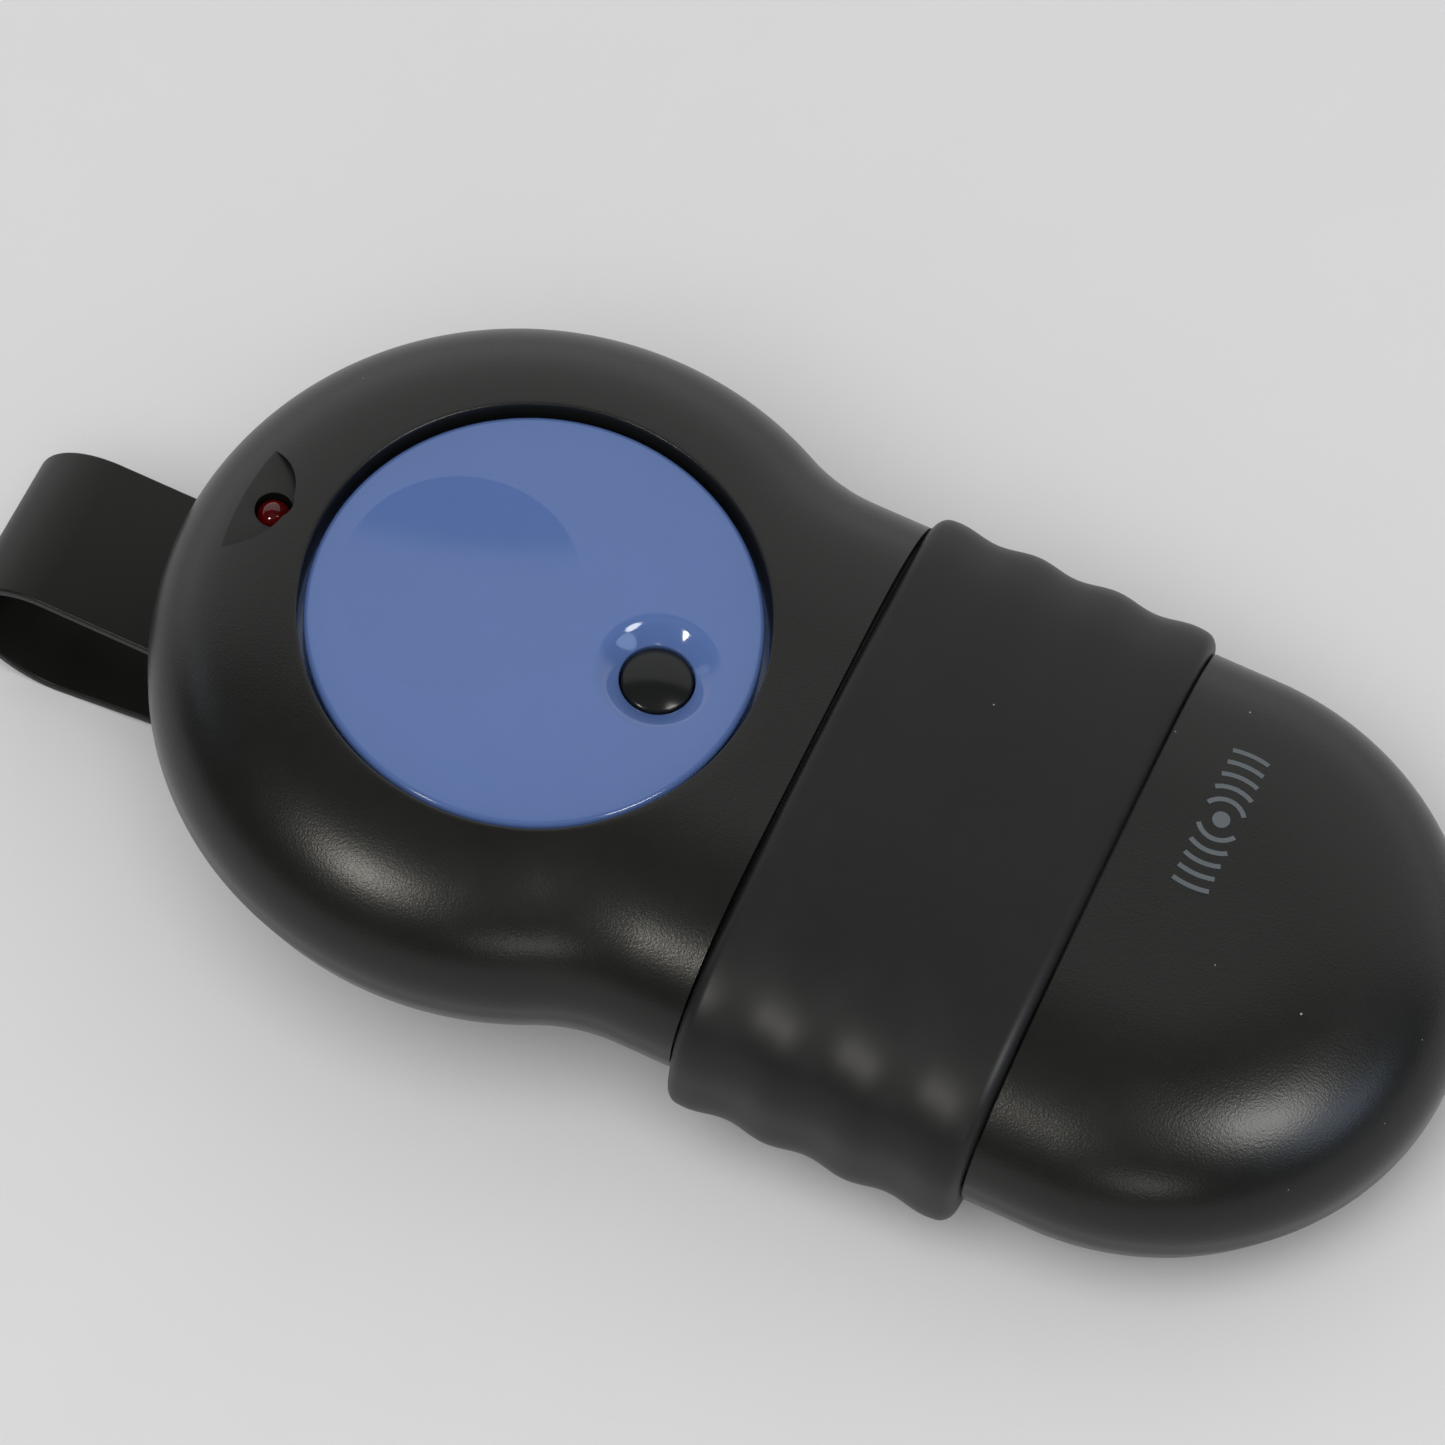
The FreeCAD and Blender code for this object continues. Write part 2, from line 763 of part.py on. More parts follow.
def case_screws():
    screws = []
    for x, y in case_screw_places:
        shank = cylinder(x, y, case_head_z, 6.0, case_shank_r)
        low = case_head_z - case_head_t
        head = cylinder(x, y, low, case_head_z, case_head_r)
        cross = [block(x - 1.1, x + 1.1, y - 0.25, y + 0.25, low, low + 0.7)]
        cross.append(block(x - 0.25, x + 0.25, y - 1.1, y + 1.1, low, low + 0.7))
        screws += both_sides(head.cut(cross).fuse(shank).removeSplitter())
    return Part.makeCompound(screws)


def board_screws():
    screws = []
    for x, y in board_screw_places:
        shank = cylinder(x, y, floor_z + 0.6, board_z, board_shank_r)
        screws.append(shank.fuse(cylinder(x, y, board_z, board_z + 1.3, board_head_r)).removeSplitter())
    return Part.makeCompound(screws)


channel = waist_channel()
back_shell = bottom_block(0).cut(bottom_block(wall))
nodes = {
    "top_case": top_case(channel),
    "bottom_case": bottom_case(channel, back_shell),
    "case_seal": seal_block(),
    "grip_sleeve": grip_sleeve(),
    "call_button": call_button(),
    "mute_button": mute_button(),
    "call_switch": switch_body(post_x),
    "call_plunger": switch_plunger(post_x),
    "mute_switch": switch_body(mute_x),
    "mute_plunger": switch_plunger(mute_x),
    "call_spring": call_spring(),
    "button_guide": button_guide(),
    "circuit_board": circuit_board(),
    "indicator_led": indicator_led(),
    "led_leads": led_leads(),
    "led_spacer": led_spacer(),
    "microcontroller": chip(*processor),
    "radio_module": chip(*radio),
    "crystal": crystal_can(),
    "capacitors": capacitor_group(),
    "buzzer": buzzer(),
    "motor_can": motor_can(),
    "motor_weight": motor_weight(),
    "motor_clip": motor_clip(),
    "antenna_rod": antenna_rod(),
    "antenna_coil": antenna_coil(),
    "antenna_cradles": antenna_cradles(),
    "battery_tray": battery_tray(),
    "battery_cell": battery_cell(),
    "battery_contact": battery_contact(),
    "battery_spring": battery_spring(),
    "battery_door": battery_door(back_shell),
    "clip_fixed_leaf": clip_fixed_leaf(),
    "clip_spring_leaf": clip_spring_leaf(),
    "clip_rivets": clip_rivets(),
    "clip_backing_plate": clip_backing_plate(),
    "case_screws": case_screws(),
    "board_screws": board_screws(),
}
for name, shape in nodes.items():
    save(name, shape)
    box = shape.BoundBox
    print(name, len(shape.Solids), round(shape.Volume, 1), round(box.XLength, 2), round(box.ZLength, 2))
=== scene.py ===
import json
import math

import bmesh
import bpy
import numpy as np
from mathutils import Matrix, Vector
from mathutils.geometry import tessellate_polygon


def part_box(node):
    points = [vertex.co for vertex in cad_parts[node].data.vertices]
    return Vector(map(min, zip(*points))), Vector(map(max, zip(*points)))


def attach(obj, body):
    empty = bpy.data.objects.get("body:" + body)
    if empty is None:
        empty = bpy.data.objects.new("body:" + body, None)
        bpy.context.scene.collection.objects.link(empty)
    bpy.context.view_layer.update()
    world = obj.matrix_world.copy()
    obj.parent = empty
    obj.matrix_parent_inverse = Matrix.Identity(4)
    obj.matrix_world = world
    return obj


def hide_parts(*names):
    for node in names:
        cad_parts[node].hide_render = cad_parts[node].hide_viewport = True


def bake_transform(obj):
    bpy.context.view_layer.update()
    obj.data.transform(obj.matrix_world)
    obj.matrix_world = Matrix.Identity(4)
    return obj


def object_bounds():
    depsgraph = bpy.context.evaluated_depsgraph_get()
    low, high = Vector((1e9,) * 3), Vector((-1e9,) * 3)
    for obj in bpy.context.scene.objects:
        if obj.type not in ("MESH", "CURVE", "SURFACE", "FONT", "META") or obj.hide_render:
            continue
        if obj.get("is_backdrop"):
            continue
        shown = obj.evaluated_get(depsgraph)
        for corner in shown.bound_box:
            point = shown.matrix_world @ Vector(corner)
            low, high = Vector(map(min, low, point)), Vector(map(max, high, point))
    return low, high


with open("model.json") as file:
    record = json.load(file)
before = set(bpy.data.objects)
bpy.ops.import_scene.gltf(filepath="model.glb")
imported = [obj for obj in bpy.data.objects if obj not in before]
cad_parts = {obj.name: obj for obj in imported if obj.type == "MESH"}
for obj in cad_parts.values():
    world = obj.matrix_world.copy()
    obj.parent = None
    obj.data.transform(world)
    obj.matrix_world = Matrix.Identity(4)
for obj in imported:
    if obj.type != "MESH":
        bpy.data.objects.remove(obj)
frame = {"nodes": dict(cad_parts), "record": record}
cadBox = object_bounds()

# Shapes are worked out in millimetres, with X from the call button's axis to the tail and Z = 0 where the
# two halves of the case meet, then placed where the frame has those two.
mm = 0.001
buttonLow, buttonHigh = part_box("call_button")
home = np.array([(buttonLow.x + buttonHigh.x) / 2, 0.0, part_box("top_case")[0].z])


# ---- meshes from arrays ----

def gridFaces(columns, rows, joinColumns=True, joinRows=True):
    # four-sided faces of a grid of points stored column by column; either way round may be joined up
    i, j = np.meshgrid(np.arange(columns if joinColumns else columns - 1),
                       np.arange(rows if joinRows else rows - 1), indexing="ij")
    here = i * rows
    across = (i + 1) % columns * rows
    up = (j + 1) % rows
    return np.stack([here + j, across + j, across + up, here + up], axis=-1).reshape(-1, 4).tolist()


def makeObject(name, points, faces):
    # points in millimetres; points that meet are merged, which closes seams and poles, and faces turn outwards
    mesh = bpy.data.meshes.new(name)
    mesh.from_pydata((np.reshape(points, (-1, 3)) * mm + home).tolist(), [], faces)
    build = bmesh.new()
    build.from_mesh(mesh)
    bmesh.ops.remove_doubles(build, verts=build.verts, dist=2e-7)
    bmesh.ops.recalc_face_normals(build, faces=build.faces)
    build.to_mesh(mesh)
    build.free()
    obj = bpy.data.objects.new(name, mesh)
    bpy.context.collection.objects.link(obj)
    return obj


def combine(obj, tool, operation):
    # the tool is cut from, added to or met with the piece, then thrown away
    modifier = obj.modifiers.new("tool", "BOOLEAN")
    modifier.operation = operation
    modifier.solver = "EXACT"
    modifier.object = tool
    bpy.context.view_layer.update()
    graph = bpy.context.evaluated_depsgraph_get()
    mesh = bpy.data.meshes.new_from_object(obj.evaluated_get(graph))
    obj.modifiers.clear()
    obj.data = mesh
    bpy.data.objects.remove(tool)


def finishPiece(obj, slotName, body, stands=(), sharp=32.0):
    # gives a piece its finish and smooth shading with crisp edges, and ties it to its body
    obj.data.materials.clear()
    obj.data.materials.append(materials[slotName])
    obj.data.shade_smooth()
    obj.data.set_sharp_from_angle(angle=math.radians(sharp))
    if body:
        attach(obj, body)
    if stands:
        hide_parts(*stands)
    print("made", obj.name, len(obj.data.polygons), "faces")
    return obj


def lathe(name, profile, centre, columns=96, joinRows=False):
    # each point of the profile, a radius and a height, is carried round the upright axis through the centre
    turn = np.linspace(0, 2 * math.pi, columns, endpoint=False)[:, None]
    radius, height = np.array(profile, float).T
    x = centre[0] + radius * np.cos(turn)
    y = centre[1] + radius * np.sin(turn)
    points = np.stack([x, y, np.broadcast_to(height, x.shape)], axis=-1)
    return makeObject(name, points, gridFaces(columns, len(radius), True, joinRows))


def arc(centreX, centreZ, radius, start, end, steps=8):
    # points of a circle from one angle to another, in degrees
    a = np.radians(np.linspace(start, end, steps))
    return [(centreX + radius * math.cos(t), centreZ + radius * math.sin(t)) for t in a]


def several(name, places, maker):
    # one piece made of the same shape at each place
    made = [maker(name, place) for place in places]
    whole = bmesh.new()
    for obj in made:
        whole.from_mesh(obj.data)
    whole.to_mesh(made[0].data)
    whole.free()
    for obj in made[1:]:
        bpy.data.objects.remove(obj)
    return made[0]


def boxTool(x0, x1, y0, y1, z0, z1):
    x, y, z = np.meshgrid([x0, x1], [y0, y1], [z0, z1], indexing="ij")
    points = np.stack([x, y, z], axis=-1).reshape(-1, 3)
    faces = [[0, 1, 3, 2], [4, 6, 7, 5], [0, 4, 5, 1], [2, 3, 7, 6], [0, 2, 6, 4], [1, 5, 7, 3]]
    return makeObject("boxTool", points, faces)


def pinTool(name, place, radius, z0, z1):
    return lathe(name, [(0, z0), (radius, z0), (radius, z1), (0, z1)], place, 64)


# ---- finishes ----

def nodeGroup(name, inputs, outputs):
    group = bpy.data.node_groups.new(name, "ShaderNodeTree")
    for label, value in inputs.items():
        group.interface.new_socket(label, in_out="INPUT", socket_type="NodeSocketFloat").default_value = value
    for label in outputs:
        group.interface.new_socket(label, in_out="OUTPUT", socket_type="NodeSocketFloat")
    return group, group.nodes.new("NodeGroupInput").outputs, group.nodes.new("NodeGroupOutput").inputs


def math2(tree, operation, a, b=None, clamp=False):
    node = tree.nodes.new("ShaderNodeMath")
    node.operation = operation
    node.use_clamp = clamp
    for socket, value in zip(node.inputs, (a, b)):
        if isinstance(value, bpy.types.NodeSocket):
            tree.links.new(value, socket)
        elif value is not None:
            socket.default_value = value
    return node.outputs[0]


def noise(tree, size, detail=2.0, roughness=0.5):
    # noise whose lumps are about the given size in metres, a number or a socket
    place = tree.nodes.new("ShaderNodeTexCoord").outputs["Object"]
    node = tree.nodes.new("ShaderNodeTexNoise")
    tree.links.new(place, node.inputs["Vector"])
    tree.links.new(math2(tree, "DIVIDE", 1.0, size), node.inputs["Scale"])
    node.inputs["Detail"].default_value = detail
    node.inputs["Roughness"].default_value = roughness
    return node.outputs["Fac"]


def grainGroup():
    # skin of a moulding: spark-eroded pits at one size, with a slow swell under them
    group, given, out = nodeGroup("mouldedGrain", {"Size": 0.0001, "Swell": 0.3}, ["Height"])
    pits = noise(group, given["Size"], 1.5, 0.6)
    swell = noise(group, math2(group, "MULTIPLY", given["Size"], 14.0), 1.0)
    group.links.new(math2(group, "ADD", pits, math2(group, "MULTIPLY", swell, given["Swell"])), out["Height"])
    return group


def handlingGroup():
    # cloudy patches a centimetre or two wide, with finer smears over them, from 0 to 1
    group, given, out = nodeGroup("handling", {"Size": 0.012}, ["Tone"])
    broad = noise(group, given["Size"], 3.0, 0.6)
    fine = noise(group, math2(group, "MULTIPLY", given["Size"], 0.13), 2.0)
    mixed = math2(group, "ADD", math2(group, "MULTIPLY", broad, 1.5), math2(group, "MULTIPLY", fine, 0.5))
    group.links.new(math2(group, "SUBTRACT", mixed, 0.5, clamp=True), out["Tone"])
    return group


def dustGroup():
    # a few pale specks: round dots in a small share of the cells of a cell pattern
    group, given, out = nodeGroup("dust", {"Spacing": 0.0016, "Share": 0.1, "Radius": 0.05}, ["Mask"])
    place = group.nodes.new("ShaderNodeTexCoord").outputs["Object"]
    cells = group.nodes.new("ShaderNodeTexVoronoi")
    group.links.new(place, cells.inputs["Vector"])
    group.links.new(math2(group, "DIVIDE", 1.0, given["Spacing"]), cells.inputs["Scale"])
    split = group.nodes.new("ShaderNodeSeparateColor")
    group.links.new(cells.outputs["Color"], split.inputs[0])
    chosen = math2(group, "LESS_THAN", split.outputs[0], given["Share"])
    size = math2(group, "MULTIPLY", given["Radius"], math2(group, "ADD", split.outputs[1], 0.3))
    dot = math2(group, "LESS_THAN", cells.outputs["Distance"], size)
    group.links.new(math2(group, "MULTIPLY", dot, chosen), out["Mask"])
    return group


grain, handling, dust = grainGroup(), handlingGroup(), dustGroup()


def useGroup(tree, group, **values):
    node = tree.nodes.new("ShaderNodeGroup")
    node.node_tree = group
    for label, value in values.items():
        node.inputs[label].default_value = value
    return node.outputs[0]


def mixColour(tree, factor, first, second):
    node = tree.nodes.new("ShaderNodeMix")
    node.data_type = "RGBA"
    for socket, value in ((node.inputs[0], factor), (node.inputs[6], first), (node.inputs[7], second)):
        if isinstance(value, bpy.types.NodeSocket):
            tree.links.new(value, socket)
        else:
            socket.default_value = value
    return node.outputs[2]


def bands(tree, spacing, axis):
    # ridges side by side along one axis, as on a winding
    place = tree.nodes.new("ShaderNodeTexCoord").outputs["Object"]
    split = tree.nodes.new("ShaderNodeSeparateXYZ")
    tree.links.new(place, split.inputs[0])
    phase = math2(tree, "MULTIPLY", split.outputs[axis], 2 * math.pi / spacing)
    return math2(tree, "ABSOLUTE", math2(tree, "SINE", phase))


def makeMaterial(name, colour, rough, grainSize, grainDepth, drift=0.15, roughSpread=0.06, dustShare=0.0,
                 metallic=0.0, specular=0.5, coat=0.0, transmission=0.0, patchSize=0.012, swell=0.3, winding=0.0):
    material = bpy.data.materials.new(name)
    material.use_nodes = True
    tree = material.node_tree
    shader = next(n for n in tree.nodes if n.type == "BSDF_PRINCIPLED")
    tone = useGroup(tree, handling, Size=patchSize)
    darker = [c * (1 - drift) for c in colour] + [1.0]
    lighter = [min(c * (1 + drift), 1.0) for c in colour] + [1.0]
    paint = mixColour(tree, tone, darker, lighter)
    if dustShare:
        speck = useGroup(tree, dust, Share=dustShare)
        paint = mixColour(tree, math2(tree, "MULTIPLY", speck, 0.75), paint, [0.42, 0.41, 0.39, 1.0])
    tree.links.new(paint, shader.inputs["Base Color"])
    spread = math2(tree, "MULTIPLY", math2(tree, "SUBTRACT", tone, 0.5), roughSpread)
    tree.links.new(math2(tree, "ADD", spread, rough), shader.inputs["Roughness"])
    height = useGroup(tree, grain, Size=grainSize, Swell=swell)
    if winding:
        height = math2(tree, "ADD", height, math2(tree, "MULTIPLY", bands(tree, winding, 1), 6.0))
    bump = tree.nodes.new("ShaderNodeBump")
    bump.inputs["Strength"].default_value = 1.0
    bump.inputs["Distance"].default_value = grainDepth
    tree.links.new(height, bump.inputs["Height"])
    tree.links.new(bump.outputs["Normal"], shader.inputs["Normal"])
    shader.inputs["Metallic"].default_value = metallic
    shader.inputs["Specular IOR Level"].default_value = specular
    shader.inputs["Coat Weight"].default_value = coat
    shader.inputs["Transmission Weight"].default_value = transmission
    return material


finishes = {
    "case_plastic": dict(colour=(0.0085, 0.0086, 0.0078), rough=0.31, grainSize=0.00022, grainDepth=0.000016,
                         drift=0.12, dustShare=0.05, specular=0.33, swell=0.05),
    "grip_rubber": dict(colour=(0.0138, 0.014, 0.0142), rough=0.4, grainSize=0.00009, grainDepth=0.000006,
                        drift=0.12, dustShare=0.02, specular=0.21),
    "call_plastic": dict(colour=(0.092, 0.158, 0.375), rough=0.1, grainSize=0.0012, grainDepth=0.0000012,
                         drift=0.03, roughSpread=0.04, dustShare=0.006, specular=0.47),
    "mute_plastic": dict(colour=(0.0105, 0.011, 0.011), rough=0.19, grainSize=0.0008, grainDepth=0.000001,
                         drift=0.1, specular=0.26),
    "plunger_plastic": dict(colour=(0.75, 0.73, 0.66), rough=0.45, grainSize=0.0002, grainDepth=0.000004),
    "lens_red": dict(colour=(0.22, 0.003, 0.003), rough=0.08, grainSize=0.0008, grainDepth=0.000001,
                     drift=0.03, roughSpread=0.0, transmission=0.75),
    "clip_coating": dict(colour=(0.006, 0.0062, 0.005), rough=0.42, grainSize=0.00012, grainDepth=0.000006,
                         drift=0.1, dustShare=0.01, specular=0.25),
    "rivet_metal": dict(colour=(0.02, 0.021, 0.02), rough=0.4, grainSize=0.00012, grainDepth=0.000005),
    "inner_plastic": dict(colour=(0.05, 0.05, 0.05), rough=0.5, grainSize=0.0002, grainDepth=0.000006),
    "seal_rubber": dict(colour=(0.02, 0.02, 0.02), rough=0.7, grainSize=0.0002, grainDepth=0.00001),
    "board_laminate": dict(colour=(0.02, 0.16, 0.07), rough=0.35, grainSize=0.0004, grainDepth=0.00001),
    "chip_black": dict(colour=(0.03, 0.03, 0.03), rough=0.5, grainSize=0.00012, grainDepth=0.000006),
    "ceramic": dict(colour=(0.45, 0.36, 0.25), rough=0.4, grainSize=0.00015, grainDepth=0.000005),
    "shield_metal": dict(colour=(0.72, 0.72, 0.7), rough=0.3, grainSize=0.0003, grainDepth=0.000004, metallic=1.0),
    "weight_metal": dict(colour=(0.45, 0.45, 0.44), rough=0.42, grainSize=0.0002, grainDepth=0.000008, metallic=1.0),
    "ferrite": dict(colour=(0.06, 0.06, 0.065), rough=0.55, grainSize=0.0002, grainDepth=0.00001),
    "copper_wire": dict(colour=(0.72, 0.36, 0.2), rough=0.3, grainSize=0.0003, grainDepth=0.00002, metallic=1.0,
                        winding=0.0006),
    "cell_wrap": dict(colour=(0.08, 0.1, 0.14), rough=0.25, grainSize=0.0009, grainDepth=0.000003, drift=0.06),
    "spring_steel": dict(colour=(0.62, 0.62, 0.6), rough=0.25, grainSize=0.0003, grainDepth=0.000003, metallic=1.0),
    "screw_metal": dict(colour=(0.3, 0.3, 0.3), rough=0.35, grainSize=0.0002, grainDepth=0.000005, metallic=1.0),
}
materials = {}
for slotName, recipe in finishes.items():
    first, *rest = slotName.split("_")
    materials[slotName] = makeMaterial(first + "".join(word.title() for word in rest), **recipe)

for part in frame["record"]["subparts"]:
    mesh = frame["nodes"][part["node"]].data
    for index in range(len(mesh.materials)):
        mesh.materials[index] = materials[part["material_slot"]]
print("finishes ready")


# ---- case ----

case = {
    "headRadius": 31.6, "headX": -0.6, "neckRadius": 14.0, "waistWidth": 26.6, "tailX": 57.7,
    "crownDepth": 18.4, "crownBase": 2.0, "crownPower": 2.6, "headRise": 11.2, "tailRise": 10.4,
    "riseSplit": 40.0, "backStep": 0.8, "backDepth": 8.0, "backBase": 0.6, "backRise": 8.7, "wall": 2.0,
    "innerBase": 0.2, "openingRadius": 19.75, "openingLip": 0.2, "collarRadius": 21.2, "collarZ": 8.9,
    "partingEdge": 0.28, "columns": 560, "crownRows": 84,
    "screwPlaces": [(-18.0, 19.5), (19.5, 20.0), (56.0, 20.6), (-18.0, -19.5), (19.5, -20.0), (56.0, -20.6)],
    "bossRadius": 2.6, "bossLow": -6.3, "shankHole": 1.15, "headHole": 2.15, "headZ": -5.4,
}
case["neckY"] = case["waistWidth"] + case["neckRadius"]
case["neckX"] = case["headX"] + math.sqrt((case["headRadius"] + case["neckRadius"]) ** 2 - case["neckY"] ** 2)
backZ = -(case["backBase"] + case["backRise"])
floorZ = backZ + case["wall"]
grip = {
    "start": 25.6, "end": 51.6, "gap": 0.2, "halfWidth": 27.8, "ripple": 0.27, "firstCrest": 27.5, "pitch": 7.3,
    "top": 13.45, "bottom": 10.6, "edge": 1.1, "coreWidth": 25.6, "coreTop": 11.9, "coreBottom": 8.6,
    "columns": 420, "rows": 150,
}
led = {"x": -24.1, "radius": 1.5, "top": 10.7, "hole": 1.65, "scoopX": -28.0, "scoopRadius": 5.3, "scoopZ": 10.55}


def edgeDistance(x, y):
    # how far a point lies in from the case's outline: round head, hollow necks, straight waist and round tail
    y = np.abs(y)
    head = case["headRadius"] - np.hypot(x - case["headX"], y)
    neck = np.hypot(x - case["neckX"], y - case["neckY"]) - case["neckRadius"]
    tail = case["waistWidth"] - np.hypot(x - case["tailX"], y)
    byNeck = (case["neckX"] - case["headX"]) * y < case["neckY"] * (x - case["headX"])
    places = [x > case["tailX"], x >= case["neckX"], byNeck]
    return np.select(places, [tail, case["waistWidth"] - y, neck], head)


def outline(turn, inset=0.0):
    # where the ray at each turn about the button's axis meets the outline moved in by inset, found by halving
    near, far = np.zeros_like(turn), np.full_like(turn, 90.0)
    for _ in range(42):
        middle = (near + far) / 2
        inside = edgeDistance(middle * np.cos(turn), middle * np.sin(turn)) > inset
        near, far = np.where(inside, middle, near), np.where(inside, far, middle)
    return np.stack([near * np.cos(turn), near * np.sin(turn)], axis=-1)


def evenly(curve, count):
    # points at equal steps along a closed curve given by many points
    loop = np.vstack([curve, curve[:1]])
    along = np.concatenate([[0], np.cumsum(np.linalg.norm(np.diff(loop, axis=0), axis=1))])
    stops = np.linspace(0, along[-1], count, endpoint=False)
    return np.stack([np.interp(stops, along, loop[:, k]) for k in range(loop.shape[1])], axis=-1)


def crownHeight(place):
    # height of the top: an upright base, then a superelliptic edge that runs out flat
    x, y = place[:, 0], place[:, 1]
    rise = np.where(x < case["riseSplit"], case["headRise"], case["tailRise"])
    left = np.clip(1 - edgeDistance(x, y) / case["crownDepth"], 0, 1)
    return case["crownBase"] + rise * np.sqrt(1 - left ** case["crownPower"])


def ceilingHeight(place):
    # the same edge on the inside, one wall in and one wall down
    left = np.clip(1 - (edgeDistance(place[:, 0], place[:, 1]) - case["wall"]) / case["crownDepth"], 0, 1)
    rise = case["crownBase"] + case["tailRise"] - case["wall"] - case["innerBase"]
    return case["innerBase"] + rise * np.sqrt(1 - left ** case["crownPower"])


def stack(rows):
    # rows of (places, heights) become a grid stored column by column
    return np.stack([np.column_stack([xy, np.broadcast_to(z, len(xy))]) for xy, z in rows], axis=1)


spokes = evenly(outline(np.linspace(0, 2 * math.pi, 6000, endpoint=False)), case["columns"])
turns = np.arctan2(spokes[:, 1], spokes[:, 0])
spoke = np.stack([np.cos(turns), np.sin(turns)], axis=-1)
quarter = np.linspace(0, math.pi / 2, 6)


def superRing(halfWidth, top, bottom, count):
    # closed superelliptic section across the waist, flatter at the back than on top
    t = np.linspace(0, 2 * math.pi, 24000, endpoint=False)
    c, s = np.cos(t), np.sin(t)
    power = np.where(s > 0, 3.0, 3.6)
    y = halfWidth * np.sign(c) * np.abs(c) ** (2 / power)
    z = np.where(s > 0, top, bottom) * np.sign(s) * np.abs(s) ** (2 / power)
    return evenly(np.stack([y, z], axis=-1), count)


def channelTool():
    # what the case loses round its waist for the grip: a frame outside the grip's core
    core = superRing(grip["coreWidth"], grip["coreTop"], grip["coreBottom"], grip["columns"])
    x0, x1 = grip["start"] - grip["gap"], grip["end"] + grip["gap"]
    rows = [(x0, 1), (x0, 2), (x1, 2), (x1, 1)]
    points = np.stack([np.column_stack([np.full(len(core), x), core * grow]) for x, grow in rows], axis=1)
    return makeObject("channelTool", points, gridFaces(len(core), 4))


def topCase():
    # Rows run up the outer wall, over the crown along straight spokes to the button's opening, round its lip
    # and down its collar, then back along the ceiling and down the inside of the wall.
    edge, lip, collar = case["partingEdge"], case["openingLip"], case["collarRadius"]
    outer, inner = outline(turns), outline(turns, case["wall"])
    rows = [(outline(turns, edge * (1 - math.sin(a))), edge * (1 - math.cos(a))) for a in quarter]
    rows.append((outer, case["crownBase"] / 2))
    mouth = spoke * (case["openingRadius"] + lip)
    for share in np.linspace(0, 1, case["crownRows"]) ** 2.2:
        place = outer + (mouth - outer) * share
        rows.append((place, crownHeight(place)))
    rim = crownHeight(mouth)
    for a in quarter[1:]:
        rows.append((spoke * (case["openingRadius"] + lip * (1 - math.sin(a))), rim - lip * (1 - math.cos(a))))
    rows += [(spoke * case["openingRadius"], case["collarZ"]), (spoke * collar, case["collarZ"])]
    for share in 1 - np.linspace(1, 0, 34) ** 2.2:
        place = spoke * collar + (inner - spoke * collar) * share
        rows.append((place, ceilingHeight(place)))
    rows.append((inner, 0.0))
    points = stack(rows)
    obj = makeObject("topCase", points, gridFaces(*points.shape[:2]))
    combine(obj, several("bosses", case["screwPlaces"], lambda n, p: pinTool(n, p, case["bossRadius"], 0.3, 8.0)), "UNION")
    combine(obj, channelTool(), "DIFFERENCE")
    combine(obj, pinTool("scoop", (led["scoopX"], 0), led["scoopRadius"], led["scoopZ"], 20), "DIFFERENCE")
    combine(obj, pinTool("ledHole", (led["x"], 0), led["hole"], 1, 20), "DIFFERENCE")
    return finishPiece(obj, "case_plastic", "case", ["top_case"])


def backShell():
    # Rows run from the middle of the back out to its rounded edge, up the wall to the parting plane, and back
    # down the inside to the middle of the floor.
    edge, step, depth = case["partingEdge"], case["backStep"], case["backDepth"]
    flat = outline(turns, step + depth)
    rows = [(flat * share, backZ) for share in (0, 0.25, 0.5, 0.75, 0.95)]
    for a in np.linspace(math.pi / 2, 0, 30):
        inset = step + depth * (1 - math.cos(a))
        rows.append((outline(turns, inset), -(case["backBase"] + case["backRise"] * math.sin(a))))
    for a in quarter[::-1]:
        rows.append((outline(turns, step + edge * (1 - math.sin(a))), -edge * (1 - math.cos(a))))
    rise = -floorZ - case["innerBase"]
    rows.append((outline(turns, case["wall"]), 0.0))
    for a in np.linspace(0, math.pi / 2, 18):
        inset = case["wall"] + depth * (1 - math.cos(a))
        rows.append((outline(turns, inset), -(case["innerBase"] + rise * math.sin(a))))
    innerFlat = outline(turns, case["wall"] + depth)
    rows += [(innerFlat * share, floorZ) for share in (0.7, 0.3, 0)]
    points = stack(rows)
    return makeObject("backShell", points, gridFaces(*points.shape[:2], True, False))


door = {"start": 54.0, "halfWidth": 14.4, "top": -2.2, "gap": 0.15, "ridges": [66.0, 68.0, 70.0], "ridgeWidth": 0.9,
        "ridgeHalf": 6.0, "ridgeDepth": 0.4, "tongueReach": 1.4, "tongueHalf": 4.0, "tongueLow": 0.1, "tongueHigh": 0.8}


def doorTool(gap):
    return boxTool(door["start"] - gap, 90, -door["halfWidth"] - gap, door["halfWidth"] + gap, backZ - 2, door["top"] + gap)


def bottomCase():
    obj = backShell()
    obj.name = "bottomCase"
    combine(obj, channelTool(), "DIFFERENCE")
    combine(obj, doorTool(door["gap"]), "DIFFERENCE")
    places = case["screwPlaces"]
    combine(obj, several("bosses", places, lambda n, p: pinTool(n, p, case["bossRadius"], case["bossLow"], -0.2)), "UNION")
    combine(obj, several("shanks", places, lambda n, p: pinTool(n, p, case["shankHole"], -12, 1)), "DIFFERENCE")
    combine(obj, several("heads", places, lambda n, p: pinTool(n, p, case["headHole"], -12, case["headZ"])), "DIFFERENCE")
    return finishPiece(obj, "case_plastic", "case", ["bottom_case"])


